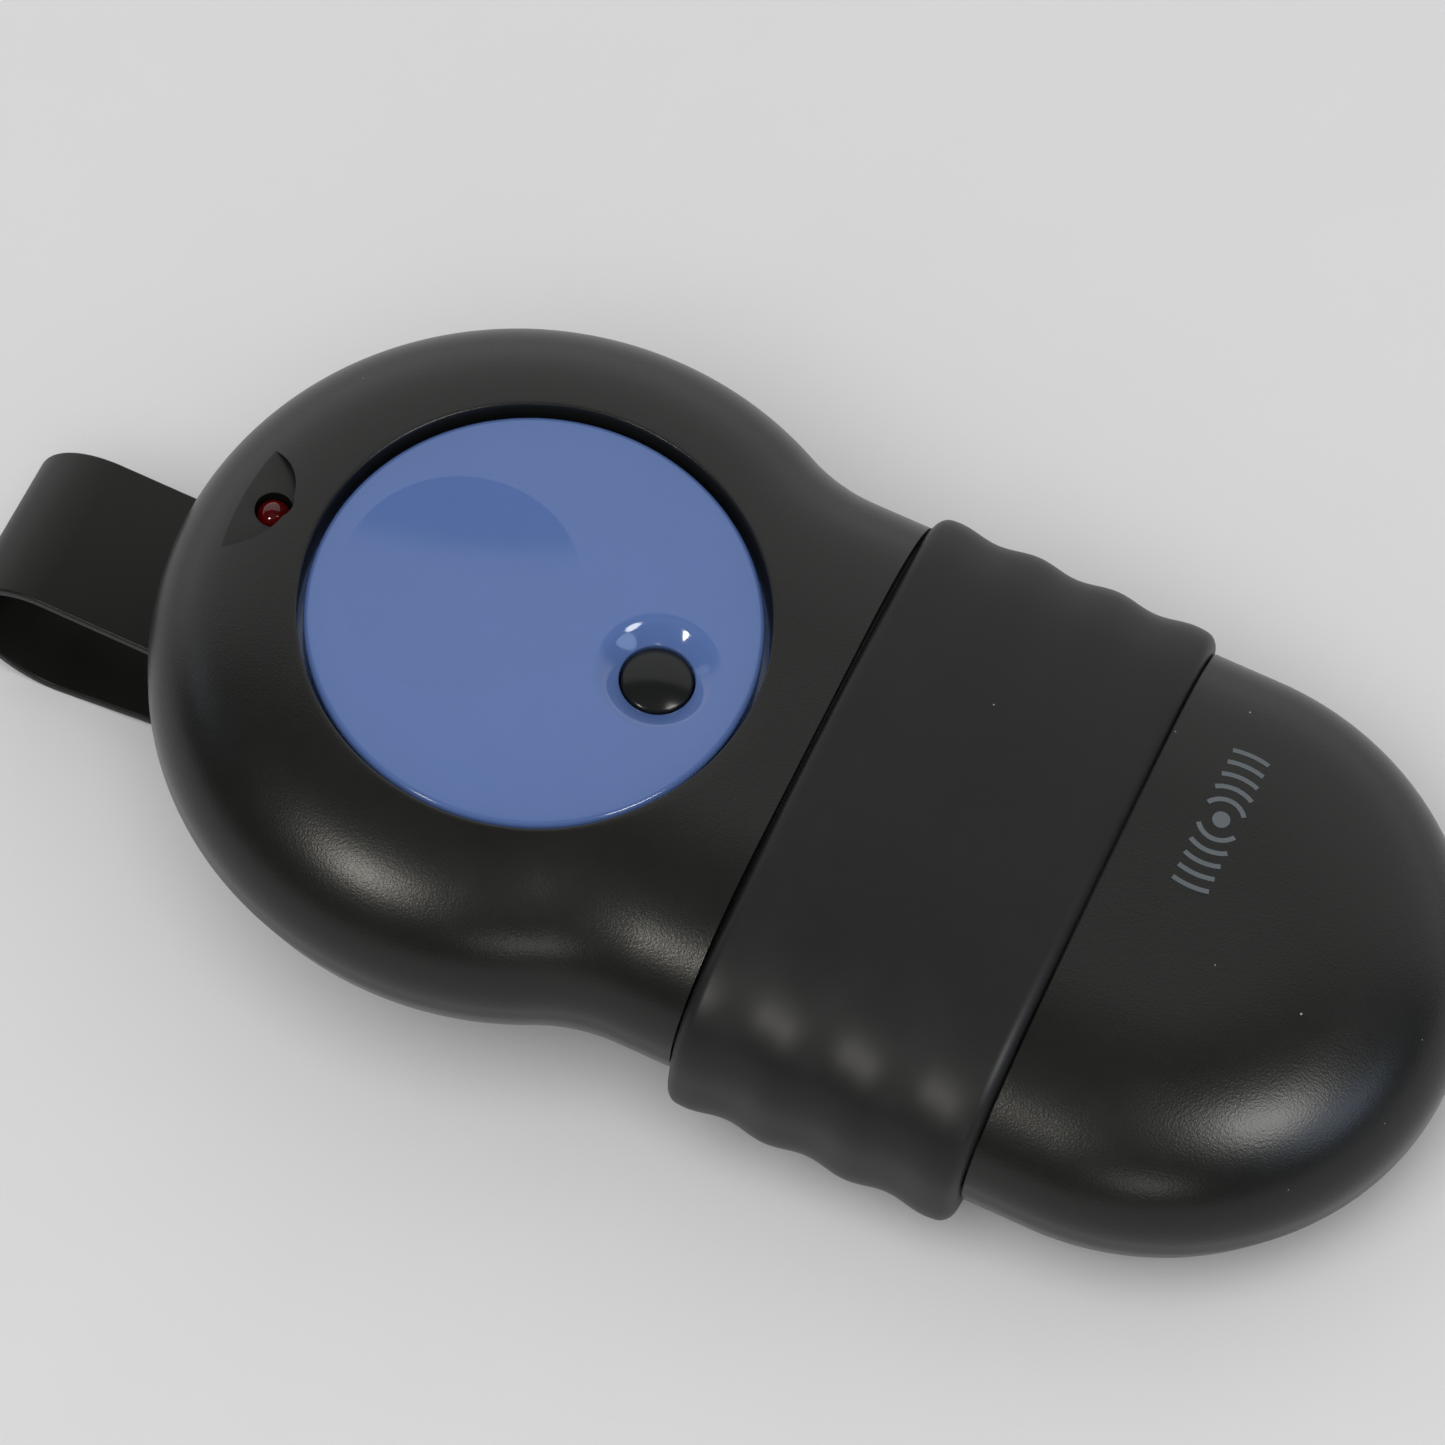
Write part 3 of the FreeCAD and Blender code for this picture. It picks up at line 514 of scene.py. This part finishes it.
def batteryDoor():
    obj = backShell()
    obj.name = "batteryDoor"
    combine(obj, doorTool(0), "INTERSECT")
    x0, half = door["start"], door["tongueHalf"]
    low, high = floorZ + door["tongueLow"], floorZ + door["tongueHigh"]
    combine(obj, boxTool(x0 - door["tongueReach"], x0 + 2, -half, half, low, high), "UNION")
    combine(obj, boxTool(x0 + 0.01, x0 + 2, -half, half, floorZ - 0.5, low + 0.1), "UNION")
    for x in door["ridges"]:
        groove = boxTool(x, x + door["ridgeWidth"], -door["ridgeHalf"], door["ridgeHalf"], backZ - 1, backZ + door["ridgeDepth"])
        combine(obj, groove, "DIFFERENCE")
    return finishPiece(obj, "case_plastic", "door", ["battery_door"])


topCase()
bottomCase()
batteryDoor()


# ---- grip ----

def gripSleeve():
    # The section swells and shrinks along X as a cosine, most at the sides and not at all on top, and its two
    # ends are rounded; the rows go out along the outside and back along the core.
    edge, last = grip["edge"], grip["end"]
    along = np.linspace(grip["start"] + edge, last - edge, grip["rows"])
    rows = [(grip["start"] + edge * (1 - math.cos(a)), edge * (1 - math.sin(a))) for a in quarter[:-1]]
    rows += [(x, 0.0) for x in along]
    rows += [(last - edge * (1 - math.cos(a)), edge * (1 - math.sin(a))) for a in quarter[::-1][1:]]
    rings = []
    for x, inset in rows:
        wave = grip["ripple"] * math.cos(2 * math.pi * (x - grip["firstCrest"]) / grip["pitch"])
        ring = superRing(grip["halfWidth"] + wave - inset, grip["top"] - inset, grip["bottom"] - inset, grip["columns"])
        rings.append(np.column_stack([np.full(len(ring), x), ring]))
    core = superRing(grip["coreWidth"] + 0.03, grip["coreTop"] + 0.03, grip["coreBottom"] + 0.03, grip["columns"])
    for x in np.linspace(last, grip["start"], 12):
        rings.append(np.column_stack([np.full(len(core), x), core]))
    points = np.stack(rings, axis=1)
    obj = makeObject("gripSleeve", points, gridFaces(*points.shape[:2]))
    return finishPiece(obj, "grip_rubber", "case", ["grip_sleeve"])


gripSleeve()


# ---- buttons ----

callKey = {
    "radius": 19.2, "top": 11.8, "plate": 2.4, "edge": 0.55, "skirt": 1.5, "skirtZ": 5.0, "flangeRadius": 20.8,
    "flangeZ": 7.4, "flangeThick": 1.2, "dishX": -6.8, "dishRadius": 10.3, "dishDepth": 0.9, "dishRim": 0.012,
    "funnelRadius": 5.6, "coneRadius": 4.5, "slope": 0.74, "bossRadius": 4.8, "bossZ": 7.5,
    "postX": -3.0, "postRadius": 2.0, "postZ": 4.05,
}
muteKey = {"x": 11.3, "radius": 3.03, "hole": 3.2, "top": 10.4, "dome": 0.72, "edge": 0.4, "flangeRadius": 4.4,
           "flangeZ": 5.0, "stemRadius": 1.6, "stemZ": 4.05}


class Shell:
    # points and faces of one closed surface, gathered ring by ring
    def __init__(self):
        self.points, self.faces = [], []

    def ring(self, x, y, z):
        first = len(self.points)
        x, y, z = np.broadcast_arrays(x, y, z)
        self.points += np.stack([x, y, z], axis=-1).tolist()
        return np.arange(first, len(self.points))

    def band(self, one, other):
        faces = np.stack([one, np.roll(one, -1), np.roll(other, -1), other], axis=-1)
        self.faces += faces.tolist()

    def bands(self, rings):
        for one, other in zip(rings, rings[1:]):
            self.band(one, other)

    def fill(self, outer, holes):
        # a flat stretch with holes in it, cut into triangles
        loops = [[Vector(self.points[k]) for k in ring] for ring in (outer, *holes)]
        index = np.concatenate([outer, *holes])
        self.faces += [[int(index[k]) for k in face] for face in tessellate_polygon(loops)]


def circle(count):
    turn = np.linspace(0, 2 * math.pi, count, endpoint=False)
    return np.cos(turn), np.sin(turn)


def callButton():
    # A flat plate with three turned stretches let into it: the dish, a bowl whose depth d is softened at the rim
    # to (d + sqrt(d * d + w * w)) / 2; the funnel, which curves in from flat to a straight cone down to the mute
    # button's hole; and its own rounded edge, which goes on down the skirt, round the flange and back under.
    k, m, shell = callKey, muteKey, Shell()
    c, s = circle(320)
    reach = k["dishRadius"] + 0.7
    dish = []
    for radius in np.concatenate([np.linspace(0, 9.6, 40), np.linspace(9.7, reach, 24)]):
        fall = k["dishDepth"] * ((radius / k["dishRadius"]) ** 2 - 1)
        z = (fall - math.sqrt(fall ** 2 + k["dishRim"] ** 2)) / 2
        dish.append(shell.ring(k["dishX"] + radius * c, radius * s, k["top"] + (0 if radius == reach else z)))
    shell.bands(dish)

    c, s = circle(200)
    hole, mouth = m["hole"], k["funnelRadius"]
    # the slope grows evenly from the mouth in to where the cone starts, so the fall there is a parabola
    bend = mouth - k["coneRadius"]
    profile = [(mouth - bend * t, k["top"] - k["slope"] * bend * t ** 2 / 2) for t in np.linspace(0, 1, 24)]
    low = k["top"] - k["slope"] * (bend / 2 + k["coneRadius"] - hole - 0.08)
    profile += [(hole + 0.08, low), (hole + 0.02, low - 0.08), (hole, low - 0.18), (hole, k["bossZ"])]
    profile += [(k["bossRadius"], k["bossZ"]), (k["bossRadius"], k["top"] - k["plate"])]
    funnel = [shell.ring(m["x"] + r * c, r * s, z) for r, z in profile]
    shell.bands(funnel)

    c, s = circle(480)
    edge, under = k["edge"], k["top"] - k["plate"]
    profile = [(k["radius"] - edge * (1 - math.sin(a)), k["top"] - edge * (1 - math.cos(a)))
               for a in np.linspace(0, math.pi / 2, 12)]
    high, low, inside = k["flangeZ"] + k["flangeThick"], k["flangeZ"], k["radius"] - k["skirt"]
    profile += [(k["radius"], high), (k["flangeRadius"], high), (k["flangeRadius"], low), (k["radius"], low)]
    profile += [(k["radius"], k["skirtZ"]), (inside, k["skirtZ"]), (inside, under)]
    rim = [shell.ring(r * c, r * s, z) for r, z in profile]
    shell.bands(rim)
    shell.fill(rim[0], [dish[-1], funnel[0]])

    c, s = circle(64)
    post = [shell.ring(k["postX"] + r * c, r * s, z) for r, z in
            ((k["postRadius"], under), (k["postRadius"], k["postZ"]), (0, k["postZ"]))]
    shell.bands(post)
    shell.fill(rim[-1], [funnel[-1], post[0]])
    obj = makeObject("callButton", shell.points, shell.faces)
    return finishPiece(obj, "call_plastic", "call_key", ["call_button"], 40)


def muteButton():
    # turned: a dome, part of a ball, that rolls over into the side, a retaining flange and a stem
    m = muteKey
    r, edge = m["radius"], m["edge"]
    ball = (r ** 2 + m["dome"] ** 2) / (2 * m["dome"])
    ballZ = m["top"] + m["dome"] - ball
    rollX = r - edge
    lean = math.degrees(math.asin(rollX / (ball - edge)))
    rollZ = ballZ + (ball - edge) * math.cos(math.radians(lean))
    profile = [(0, m["stemZ"]), (m["stemRadius"], m["stemZ"]), (m["stemRadius"], m["flangeZ"])]
    profile += [(m["flangeRadius"], m["flangeZ"]), (m["flangeRadius"], m["flangeZ"] + 1), (r, m["flangeZ"] + 1)]
    profile += arc(rollX, rollZ, edge, 0, 90 - lean, 12) + arc(0, ballZ, ball, 90 - lean, 90, 24)[1:]
    obj = lathe("muteButton", profile, (m["x"], 0), 160)
    return finishPiece(obj, "mute_plastic", "mute_key", ["mute_button"])


callButton()
muteButton()


# ---- indicator ----

def indicator():
    # a domed clear lens with a small bright cup sealed inside
    r, top = led["radius"], led["top"]
    profile = [(0, 3.0), (r + 0.4, 3.0), (r + 0.4, 4.0), (r, 4.0)] + arc(0, top - r, r, 0, 90, 20)
    lens = lathe("ledLens", profile, (led["x"], 0), 96)
    finishPiece(lens, "lens_red", "case", ["indicator_led"])
    cup = [(0, 6.6), (0.35, 6.6), (0.95, 7.3), (1.05, 7.3), (1.05, 5.2), (0, 5.2)]
    finishPiece(lathe("ledCup", cup, (led["x"], 0), 48), "spring_steel", "case")


indicator()


# ---- belt clip ----

clip = {
    "width": 15.2, "thick": 1.0, "corner": 0.24, "noseX": -50.7, "loopRadius": 8.1, "fixedEnd": 6.0, "slope": 11.0,
    "run": 42.0, "kick": 9.0, "kickRadius": 30.0, "reach": 15.5, "flare": 50.0, "flareRadius": 3.0, "tip": 2.0,
    "rivetPlaces": [(-18.0, 0.0), (-6.0, 0.0)], "rivetRadius": 2.2, "rivetHigh": 0.6,
}
clip["loopX"] = clip["noseX"] + clip["loopRadius"]
clip["loopZ"] = backZ - clip["loopRadius"]


def clipPath():
    # middle line of the strip: runs and bends, each a length or radius and a turn, laid end to end
    middle = clip["loopRadius"] - clip["thick"] / 2
    course = [(clip["fixedEnd"] - clip["loopX"], 0), (middle, 180 + clip["slope"]), (clip["run"], 0),
              (clip["kickRadius"], clip["kick"]), (clip["reach"], 0), (clip["flareRadius"], -clip["flare"]),
              (clip["tip"], 0)]
    place, heading = np.array([clip["fixedEnd"], backZ - clip["thick"] / 2]), math.pi
    stations = []
    for size, turn in course:
        steps = 24 if turn == 0 else max(10, int(abs(turn) / 1.6))
        share = np.linspace(0, 1, steps, endpoint=False)
        if turn == 0:
            ahead = np.array([math.cos(heading), math.sin(heading)])
            spots = place + np.outer(share * size, ahead)
            place, angles = place + size * ahead, np.full(steps, heading)
        else:
            bend = math.radians(turn)
            side = math.copysign(1, turn)
            centre = place + side * size * np.array([-math.sin(heading), math.cos(heading)])
            angles = heading + bend * share
            spots = centre - side * size * np.stack([-np.sin(angles), np.cos(angles)], axis=-1)
            heading = heading + bend
            place = centre - side * size * np.array([-math.sin(heading), math.cos(heading)])
        stations.append(np.column_stack([spots, angles]))
    stations.append(np.array([[place[0], place[1], heading]]))
    return np.vstack(stations)


def stripRing(inset):
    # rounded rectangle across the strip: half width along Y, half thickness along its normal
    corner = clip["corner"]
    w, t = clip["width"] / 2 - corner, clip["thick"] / 2 - corner
    r = corner - inset
    a = np.radians(np.linspace(0, 90, 6))
    points = []
    for k, (sy, sz) in enumerate(((1, 1), (-1, 1), (-1, -1), (1, -1))):
        turn = a + k * math.pi / 2
        points.append(np.stack([sy * w + r * np.cos(turn), sz * t + r * np.sin(turn)], axis=-1))
    return np.vstack(points)


def beltClip():
    # the rounded rectangle is carried along the middle line, and its two ends are rounded off and closed
    path, corner = clipPath(), clip["corner"]
    ends = [(corner * (1 - math.cos(a)), corner * (1 - math.sin(a))) for a in np.linspace(0, math.pi / 2, 5)]
    stations, insets = [], []
    for ahead, inset in ends[:-1]:
        stations.append(path[0] + [-ahead, 0, 0])
        insets.append(inset)
    body = path[1:-1]
    stations += list(body)
    insets += [0.0] * len(body)
    x, z, heading = path[-1]
    for ahead, inset in ends[::-1][1:]:
        stations.append([x - ahead * math.cos(heading), z - ahead * math.sin(heading), heading])
        insets.append(inset)
    rings = []
    for (x, z, heading), inset in zip(stations, insets):
        ring = stripRing(inset)
        rings.append(np.column_stack([x - ring[:, 1] * math.sin(heading), ring[:, 0], z + ring[:, 1] * math.cos(heading)]))
    points = np.stack(rings, axis=1)
    columns, rows = points.shape[:2]
    faces = gridFaces(columns, rows, True, False)
    faces += [[k * rows for k in range(columns)], [k * rows + rows - 1 for k in range(columns)]]
    obj = makeObject("beltClip", points, faces)
    finishPiece(obj, "clip_coating", None, ["clip_fixed_leaf", "clip_spring_leaf"])
    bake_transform(obj)


def rivet(name, place):
    # turned: a low domed head under the leaf, a shank through it and the case, and its upset end inside
    low, r = backZ - clip["thick"], clip["rivetRadius"]
    profile = [(r * math.sin(a), low - clip["rivetHigh"] * math.cos(a)) for a in np.linspace(0, math.pi / 2, 12)]
    profile += [(1.2, low), (1.2, floorZ + 1.0), (2.0, floorZ + 1.0), (1.7, floorZ + 1.5), (0, floorZ + 1.6)]
    return lathe(name, profile, place, 48)


beltClip()
finishPiece(several("clipRivets", clip["rivetPlaces"], rivet), "rivet_metal", "case", ["clip_rivets"])


# ---- screws and battery ----

def screw(name, place):
    # turned: a round-edged head low in its hole, with the shank above it
    low, top = case["headZ"] - 1.4, case["headZ"]
    profile = [(0, low), (1.6, low)] + arc(1.6, low + 0.4, 0.4, -90, 0, 6)
    profile += [(2.0, top), (1.0, top), (1.0, 5.4), (0.5, 6.0), (0, 6.0)]
    return lathe(name, profile, place, 48)


def crossTool(name, place):
    x, y = place
    low = case["headZ"] - 2
    obj = boxTool(x - 1.1, x + 1.1, y - 0.25, y + 0.25, low, low + 1.3)
    combine(obj, boxTool(x - 0.25, x + 0.25, y - 1.1, y + 1.1, low, low + 1.3), "UNION")
    return obj


def caseScrews():
    obj = several("caseScrews", case["screwPlaces"], screw)
    combine(obj, several("crosses", case["screwPlaces"], crossTool), "DIFFERENCE")
    finishPiece(obj, "screw_metal", "case", ["case_screws"])


cell = {"x": 64.0, "z": 1.6, "radius": 7.8, "length": 27.0, "button": 3.2, "buttonHigh": 1.0, "edge": 0.7}


def batteryCell():
    # turned about Y: a can with rolled edges, a groove near its top and the raised contact
    r, half, edge = cell["radius"], cell["length"] / 2, cell["edge"]
    top = half - cell["buttonHigh"]
    profile = [(0, -half)] + arc(r - edge, -half + edge, edge, -90, 0)
    profile += [(r, top - 3.2), (r - 0.25, top - 2.9), (r - 0.25, top - 2.5), (r, top - 2.2)]
    profile += arc(r - edge, top - edge, edge, 0, 90)
    profile += [(cell["button"], top), (cell["button"], half - 0.25), (cell["button"] - 0.25, half), (0, half)]
    turn = np.linspace(0, 2 * math.pi, 120, endpoint=False)[:, None]
    radius, along = np.array(profile).T
    x, z = cell["x"] + radius * np.cos(turn), cell["z"] + radius * np.sin(turn)
    points = np.stack([x, np.broadcast_to(along, x.shape), z], axis=-1)
    obj = makeObject("batteryCell", points, gridFaces(120, len(profile), True, False))
    finishPiece(obj, "cell_wrap", "case", ["battery_cell"])


caseScrews()
batteryCell()


# ---- printed mark ----

mark = {"x": 58.6, "y": 8.2, "dot": 0.75, "rings": [1.9, 3.1, 4.3, 5.5, 6.7], "spread": [58, 32, 22, 17, 14], "line": 0.42, "high": 0.04}


def waveMark():
    # a raised dot with arcs opening out to both sides of it along Y, as a sign for radio waves
    shell = Shell()
    half, lift = mark["line"] / 2, mark["high"]

    def surface(x, y):
        return crownHeight(np.column_stack([x, y]))

    for direction in (90, -90):
        for radius, spread in zip(mark["rings"], mark["spread"]):
            turn = np.radians(np.linspace(direction - spread, direction + spread, 24))
            lines = []
            for r, up in ((radius - half, -0.02), (radius - half, lift), (radius + half, lift), (radius + half, -0.02)):
                x, y = mark["x"] + r * np.cos(turn), mark["y"] + r * np.sin(turn)
                lines.append(shell.ring(x, y, surface(x, y) + up))
            for one, other in zip(lines, lines[1:] + lines[:1]):
                shell.faces += np.stack([one[:-1], one[1:], other[1:], other[:-1]], axis=-1).tolist()
            shell.faces += [[int(line[k]) for line in lines] for k in (0, -1)]
    c, s = circle(40)
    x, y = mark["x"] + mark["dot"] * c, mark["y"] + mark["dot"] * s
    low, high = shell.ring(x, y, surface(x, y) - 0.02), shell.ring(x, y, surface(x, y) + lift)
    shell.band(low, high)
    shell.faces += [low.tolist(), high.tolist()]
    obj = makeObject("waveMark", shell.points, shell.faces)
    obj.data.materials.append(makeMaterial("markPrint", (0.085, 0.1, 0.11), 0.5, 0.0002, 0.000004))
    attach(obj, "case")


waveMark()
print("pieces ready")


# ---- floor, light and camera ----

def restingTilt():
    # how far the floor leans under the pager, in radians: it touches the clip's loop and the tail's back edge
    lean = np.radians(np.linspace(0, 20, 4001))
    down = np.stack([np.sin(lean), -np.cos(lean)], axis=-1)
    loop = down @ np.array([clip["loopX"], clip["loopZ"]]) + clip["loopRadius"]
    a = np.linspace(0, math.pi / 2, 200)
    tailEnd = case["tailX"] + case["waistWidth"] - case["backStep"]
    x = tailEnd - case["backDepth"] * (1 - np.cos(a))
    z = -(case["backBase"] + case["backRise"] * np.sin(a))
    tail = (down @ np.stack([x, z])).max(axis=1)
    best = np.argmin(np.abs(loop - tail))
    return lean[best], loop[best]


def floorPlane(half=3.0):
    lean, reach = restingTilt()
    down = Vector((math.sin(lean), 0, -math.cos(lean)))
    along = Vector((math.cos(lean), 0, math.sin(lean)))
    middle = down * (reach + 0.02) * mm + Vector(home)
    corners = [middle + along * half * a + Vector((0, half * b, 0)) for a, b in ((-1, -1), (1, -1), (1, 1), (-1, 1))]
    mesh = bpy.data.meshes.new("floor")
    mesh.from_pydata([tuple(c) for c in corners], [], [[0, 1, 2, 3]])
    obj = bpy.data.objects.new("floor", mesh)
    bpy.context.collection.objects.link(obj)
    mesh.materials.append(makeMaterial("paleFloor", (0.74, 0.74, 0.745), 0.75, 0.0006, 0.00001, drift=0.012,
                                       specular=0.2, patchSize=0.05))
    obj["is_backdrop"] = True


view = {"azimuth": 17.11, "elevation": 63.36, "roll": 8.49, "distance": 549.37, "target": (16.26, 3.85, 0.0),
        "lens": 161.94}
# each light: azimuth and elevation it comes from, distance, width and height in metres, watts and colour, and
# whether it lights surfaces, shows as a reflection, or both
lights = {
    "overhead": dict(azimuth=-95, elevation=68, distance=1.5, width=1.3, height=1.3, power=12.3, diffuse=True),
    "nearLeft": dict(azimuth=-112, elevation=44, distance=1.2, width=0.16, height=0.34, power=5.4,
                     colour=(1.0, 0.97, 0.88)),
    "nearMiddle": dict(azimuth=-64, elevation=24, distance=1.2, width=0.36, height=0.2, power=1.0,
                       colour=(0.95, 1.0, 0.88)),
    "window": dict(azimuth=-15, elevation=54, distance=1.2, width=0.34, height=0.5, power=7.0,
                   colour=(1.0, 0.99, 0.96)),
    "rightWall": dict(azimuth=-4, elevation=31, distance=1.2, width=0.6, height=0.4, power=2.1,
                      colour=(0.6, 0.76, 1.0)),
    "coolLeft": dict(azimuth=-169, elevation=16, distance=1.2, width=0.3, height=0.3, power=0.25,
                     colour=(0.7, 0.84, 1.0)),
}
# the room: how pale it is to surfaces and to the eye, and what reflections find: a dark room with a bright wall
# on the far side, brighter towards the horizon, up to an edge that leans from the level by its own elevation
room = {"pale": 0.52, "dark": 0.05, "wall": 0.98, "horizon": 0.3, "wallAzimuth": 110,
        "wallTop": 72, "edge": 0.06}


def aim(azimuth, elevation):
    a, e = math.radians(azimuth), math.radians(elevation)
    return Vector((math.cos(a) * math.cos(e), math.sin(a) * math.cos(e), math.sin(e)))


def addLights():
    centre = Vector(home) + Vector((20, 0, 5)) * mm
    for name, one in lights.items():
        lamp = bpy.data.lights.new(name, "AREA")
        lamp.shape = "ELLIPSE"
        lamp.size, lamp.size_y = one["width"], one["height"]
        lamp.energy, lamp.color = one["power"], one.get("colour", (1.0, 1.0, 1.0))
        obj = bpy.data.objects.new(name, lamp)
        bpy.context.collection.objects.link(obj)
        obj.visible_camera = False
        obj.visible_diffuse = one.get("diffuse", False)
        obj.visible_glossy = not obj.visible_diffuse
        back = aim(one["azimuth"], one["elevation"])
        obj.location = centre + back * one["distance"]
        obj.rotation_euler = back.to_track_quat("Z", "Y").to_euler()


def facing(tree, direction, low, high):
    # 0 to 1 as the ray's share along a direction goes from low to high
    dot = tree.nodes.new("ShaderNodeVectorMath")
    dot.operation = "DOT_PRODUCT"
    tree.links.new(tree.nodes.new("ShaderNodeTexCoord").outputs["Generated"], dot.inputs[0])
    dot.inputs[1].default_value = direction
    ramp = tree.nodes.new("ShaderNodeMapRange")
    ramp.interpolation_type = "SMOOTHSTEP"
    tree.links.new(dot.outputs["Value"], ramp.inputs["Value"])
    ramp.inputs["From Min"].default_value = low
    ramp.inputs["From Max"].default_value = high
    return ramp.outputs["Result"]


def addWorld():
    world = bpy.data.worlds.new("studio")
    world.use_nodes = True
    bpy.context.scene.world = world
    tree = world.node_tree
    far = aim(room["wallAzimuth"], 0)
    under = aim(room["wallAzimuth"], room["wallTop"] - 90)
    low = math2(tree, "MULTIPLY", facing(tree, (0, 0, -1), -0.4, 0.0), room["horizon"])
    wall = math2(tree, "MULTIPLY", facing(tree, far, 0.1, 0.45), facing(tree, under, 0.0, room["edge"]))
    bright = math2(tree, "ADD", low, room["wall"] - room["dark"])
    seen = math2(tree, "ADD", math2(tree, "MULTIPLY", wall, bright), room["dark"])
    glossy = tree.nodes.new("ShaderNodeLightPath").outputs["Is Glossy Ray"]
    pale = math2(tree, "MULTIPLY", math2(tree, "SUBTRACT", 1.0, glossy), room["pale"])
    background = next(n for n in tree.nodes if n.type == "BACKGROUND")
    background.inputs["Color"].default_value = (1.0, 1.0, 1.0, 1.0)
    strength = math2(tree, "ADD", pale, math2(tree, "MULTIPLY", seen, glossy))
    tree.links.new(strength, background.inputs["Strength"])


def addCamera():
    a, e, roll = (math.radians(view[key]) for key in ("azimuth", "elevation", "roll"))
    level = Vector((math.cos(a), math.sin(a), 0))
    back = Vector((math.sin(a) * math.cos(e), -math.cos(a) * math.cos(e), math.sin(e)))
    rise = back.cross(level)
    right = math.cos(roll) * level + math.sin(roll) * rise
    up = -math.sin(roll) * level + math.cos(roll) * rise
    camera = bpy.data.objects.new("camera", bpy.data.cameras.new("camera"))
    camera.data.lens = view["lens"]
    camera.data.sensor_width = 36.0
    bpy.context.collection.objects.link(camera)
    place = Vector(home) + (Vector(view["target"]) + back * view["distance"]) * mm
    camera.matrix_world = Matrix.Translation(place) @ Matrix((right, up, back)).transposed().to_4x4()
    bpy.context.scene.camera = camera


floorPlane()
addLights()
addWorld()
addCamera()
bpy.context.scene.view_settings.view_transform = "Standard"
print("stage ready")

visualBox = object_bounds()
boxes = {"cad": cadBox, "visual": visualBox}
{name: [list(corner) for corner in box] for name, box in boxes.items()}
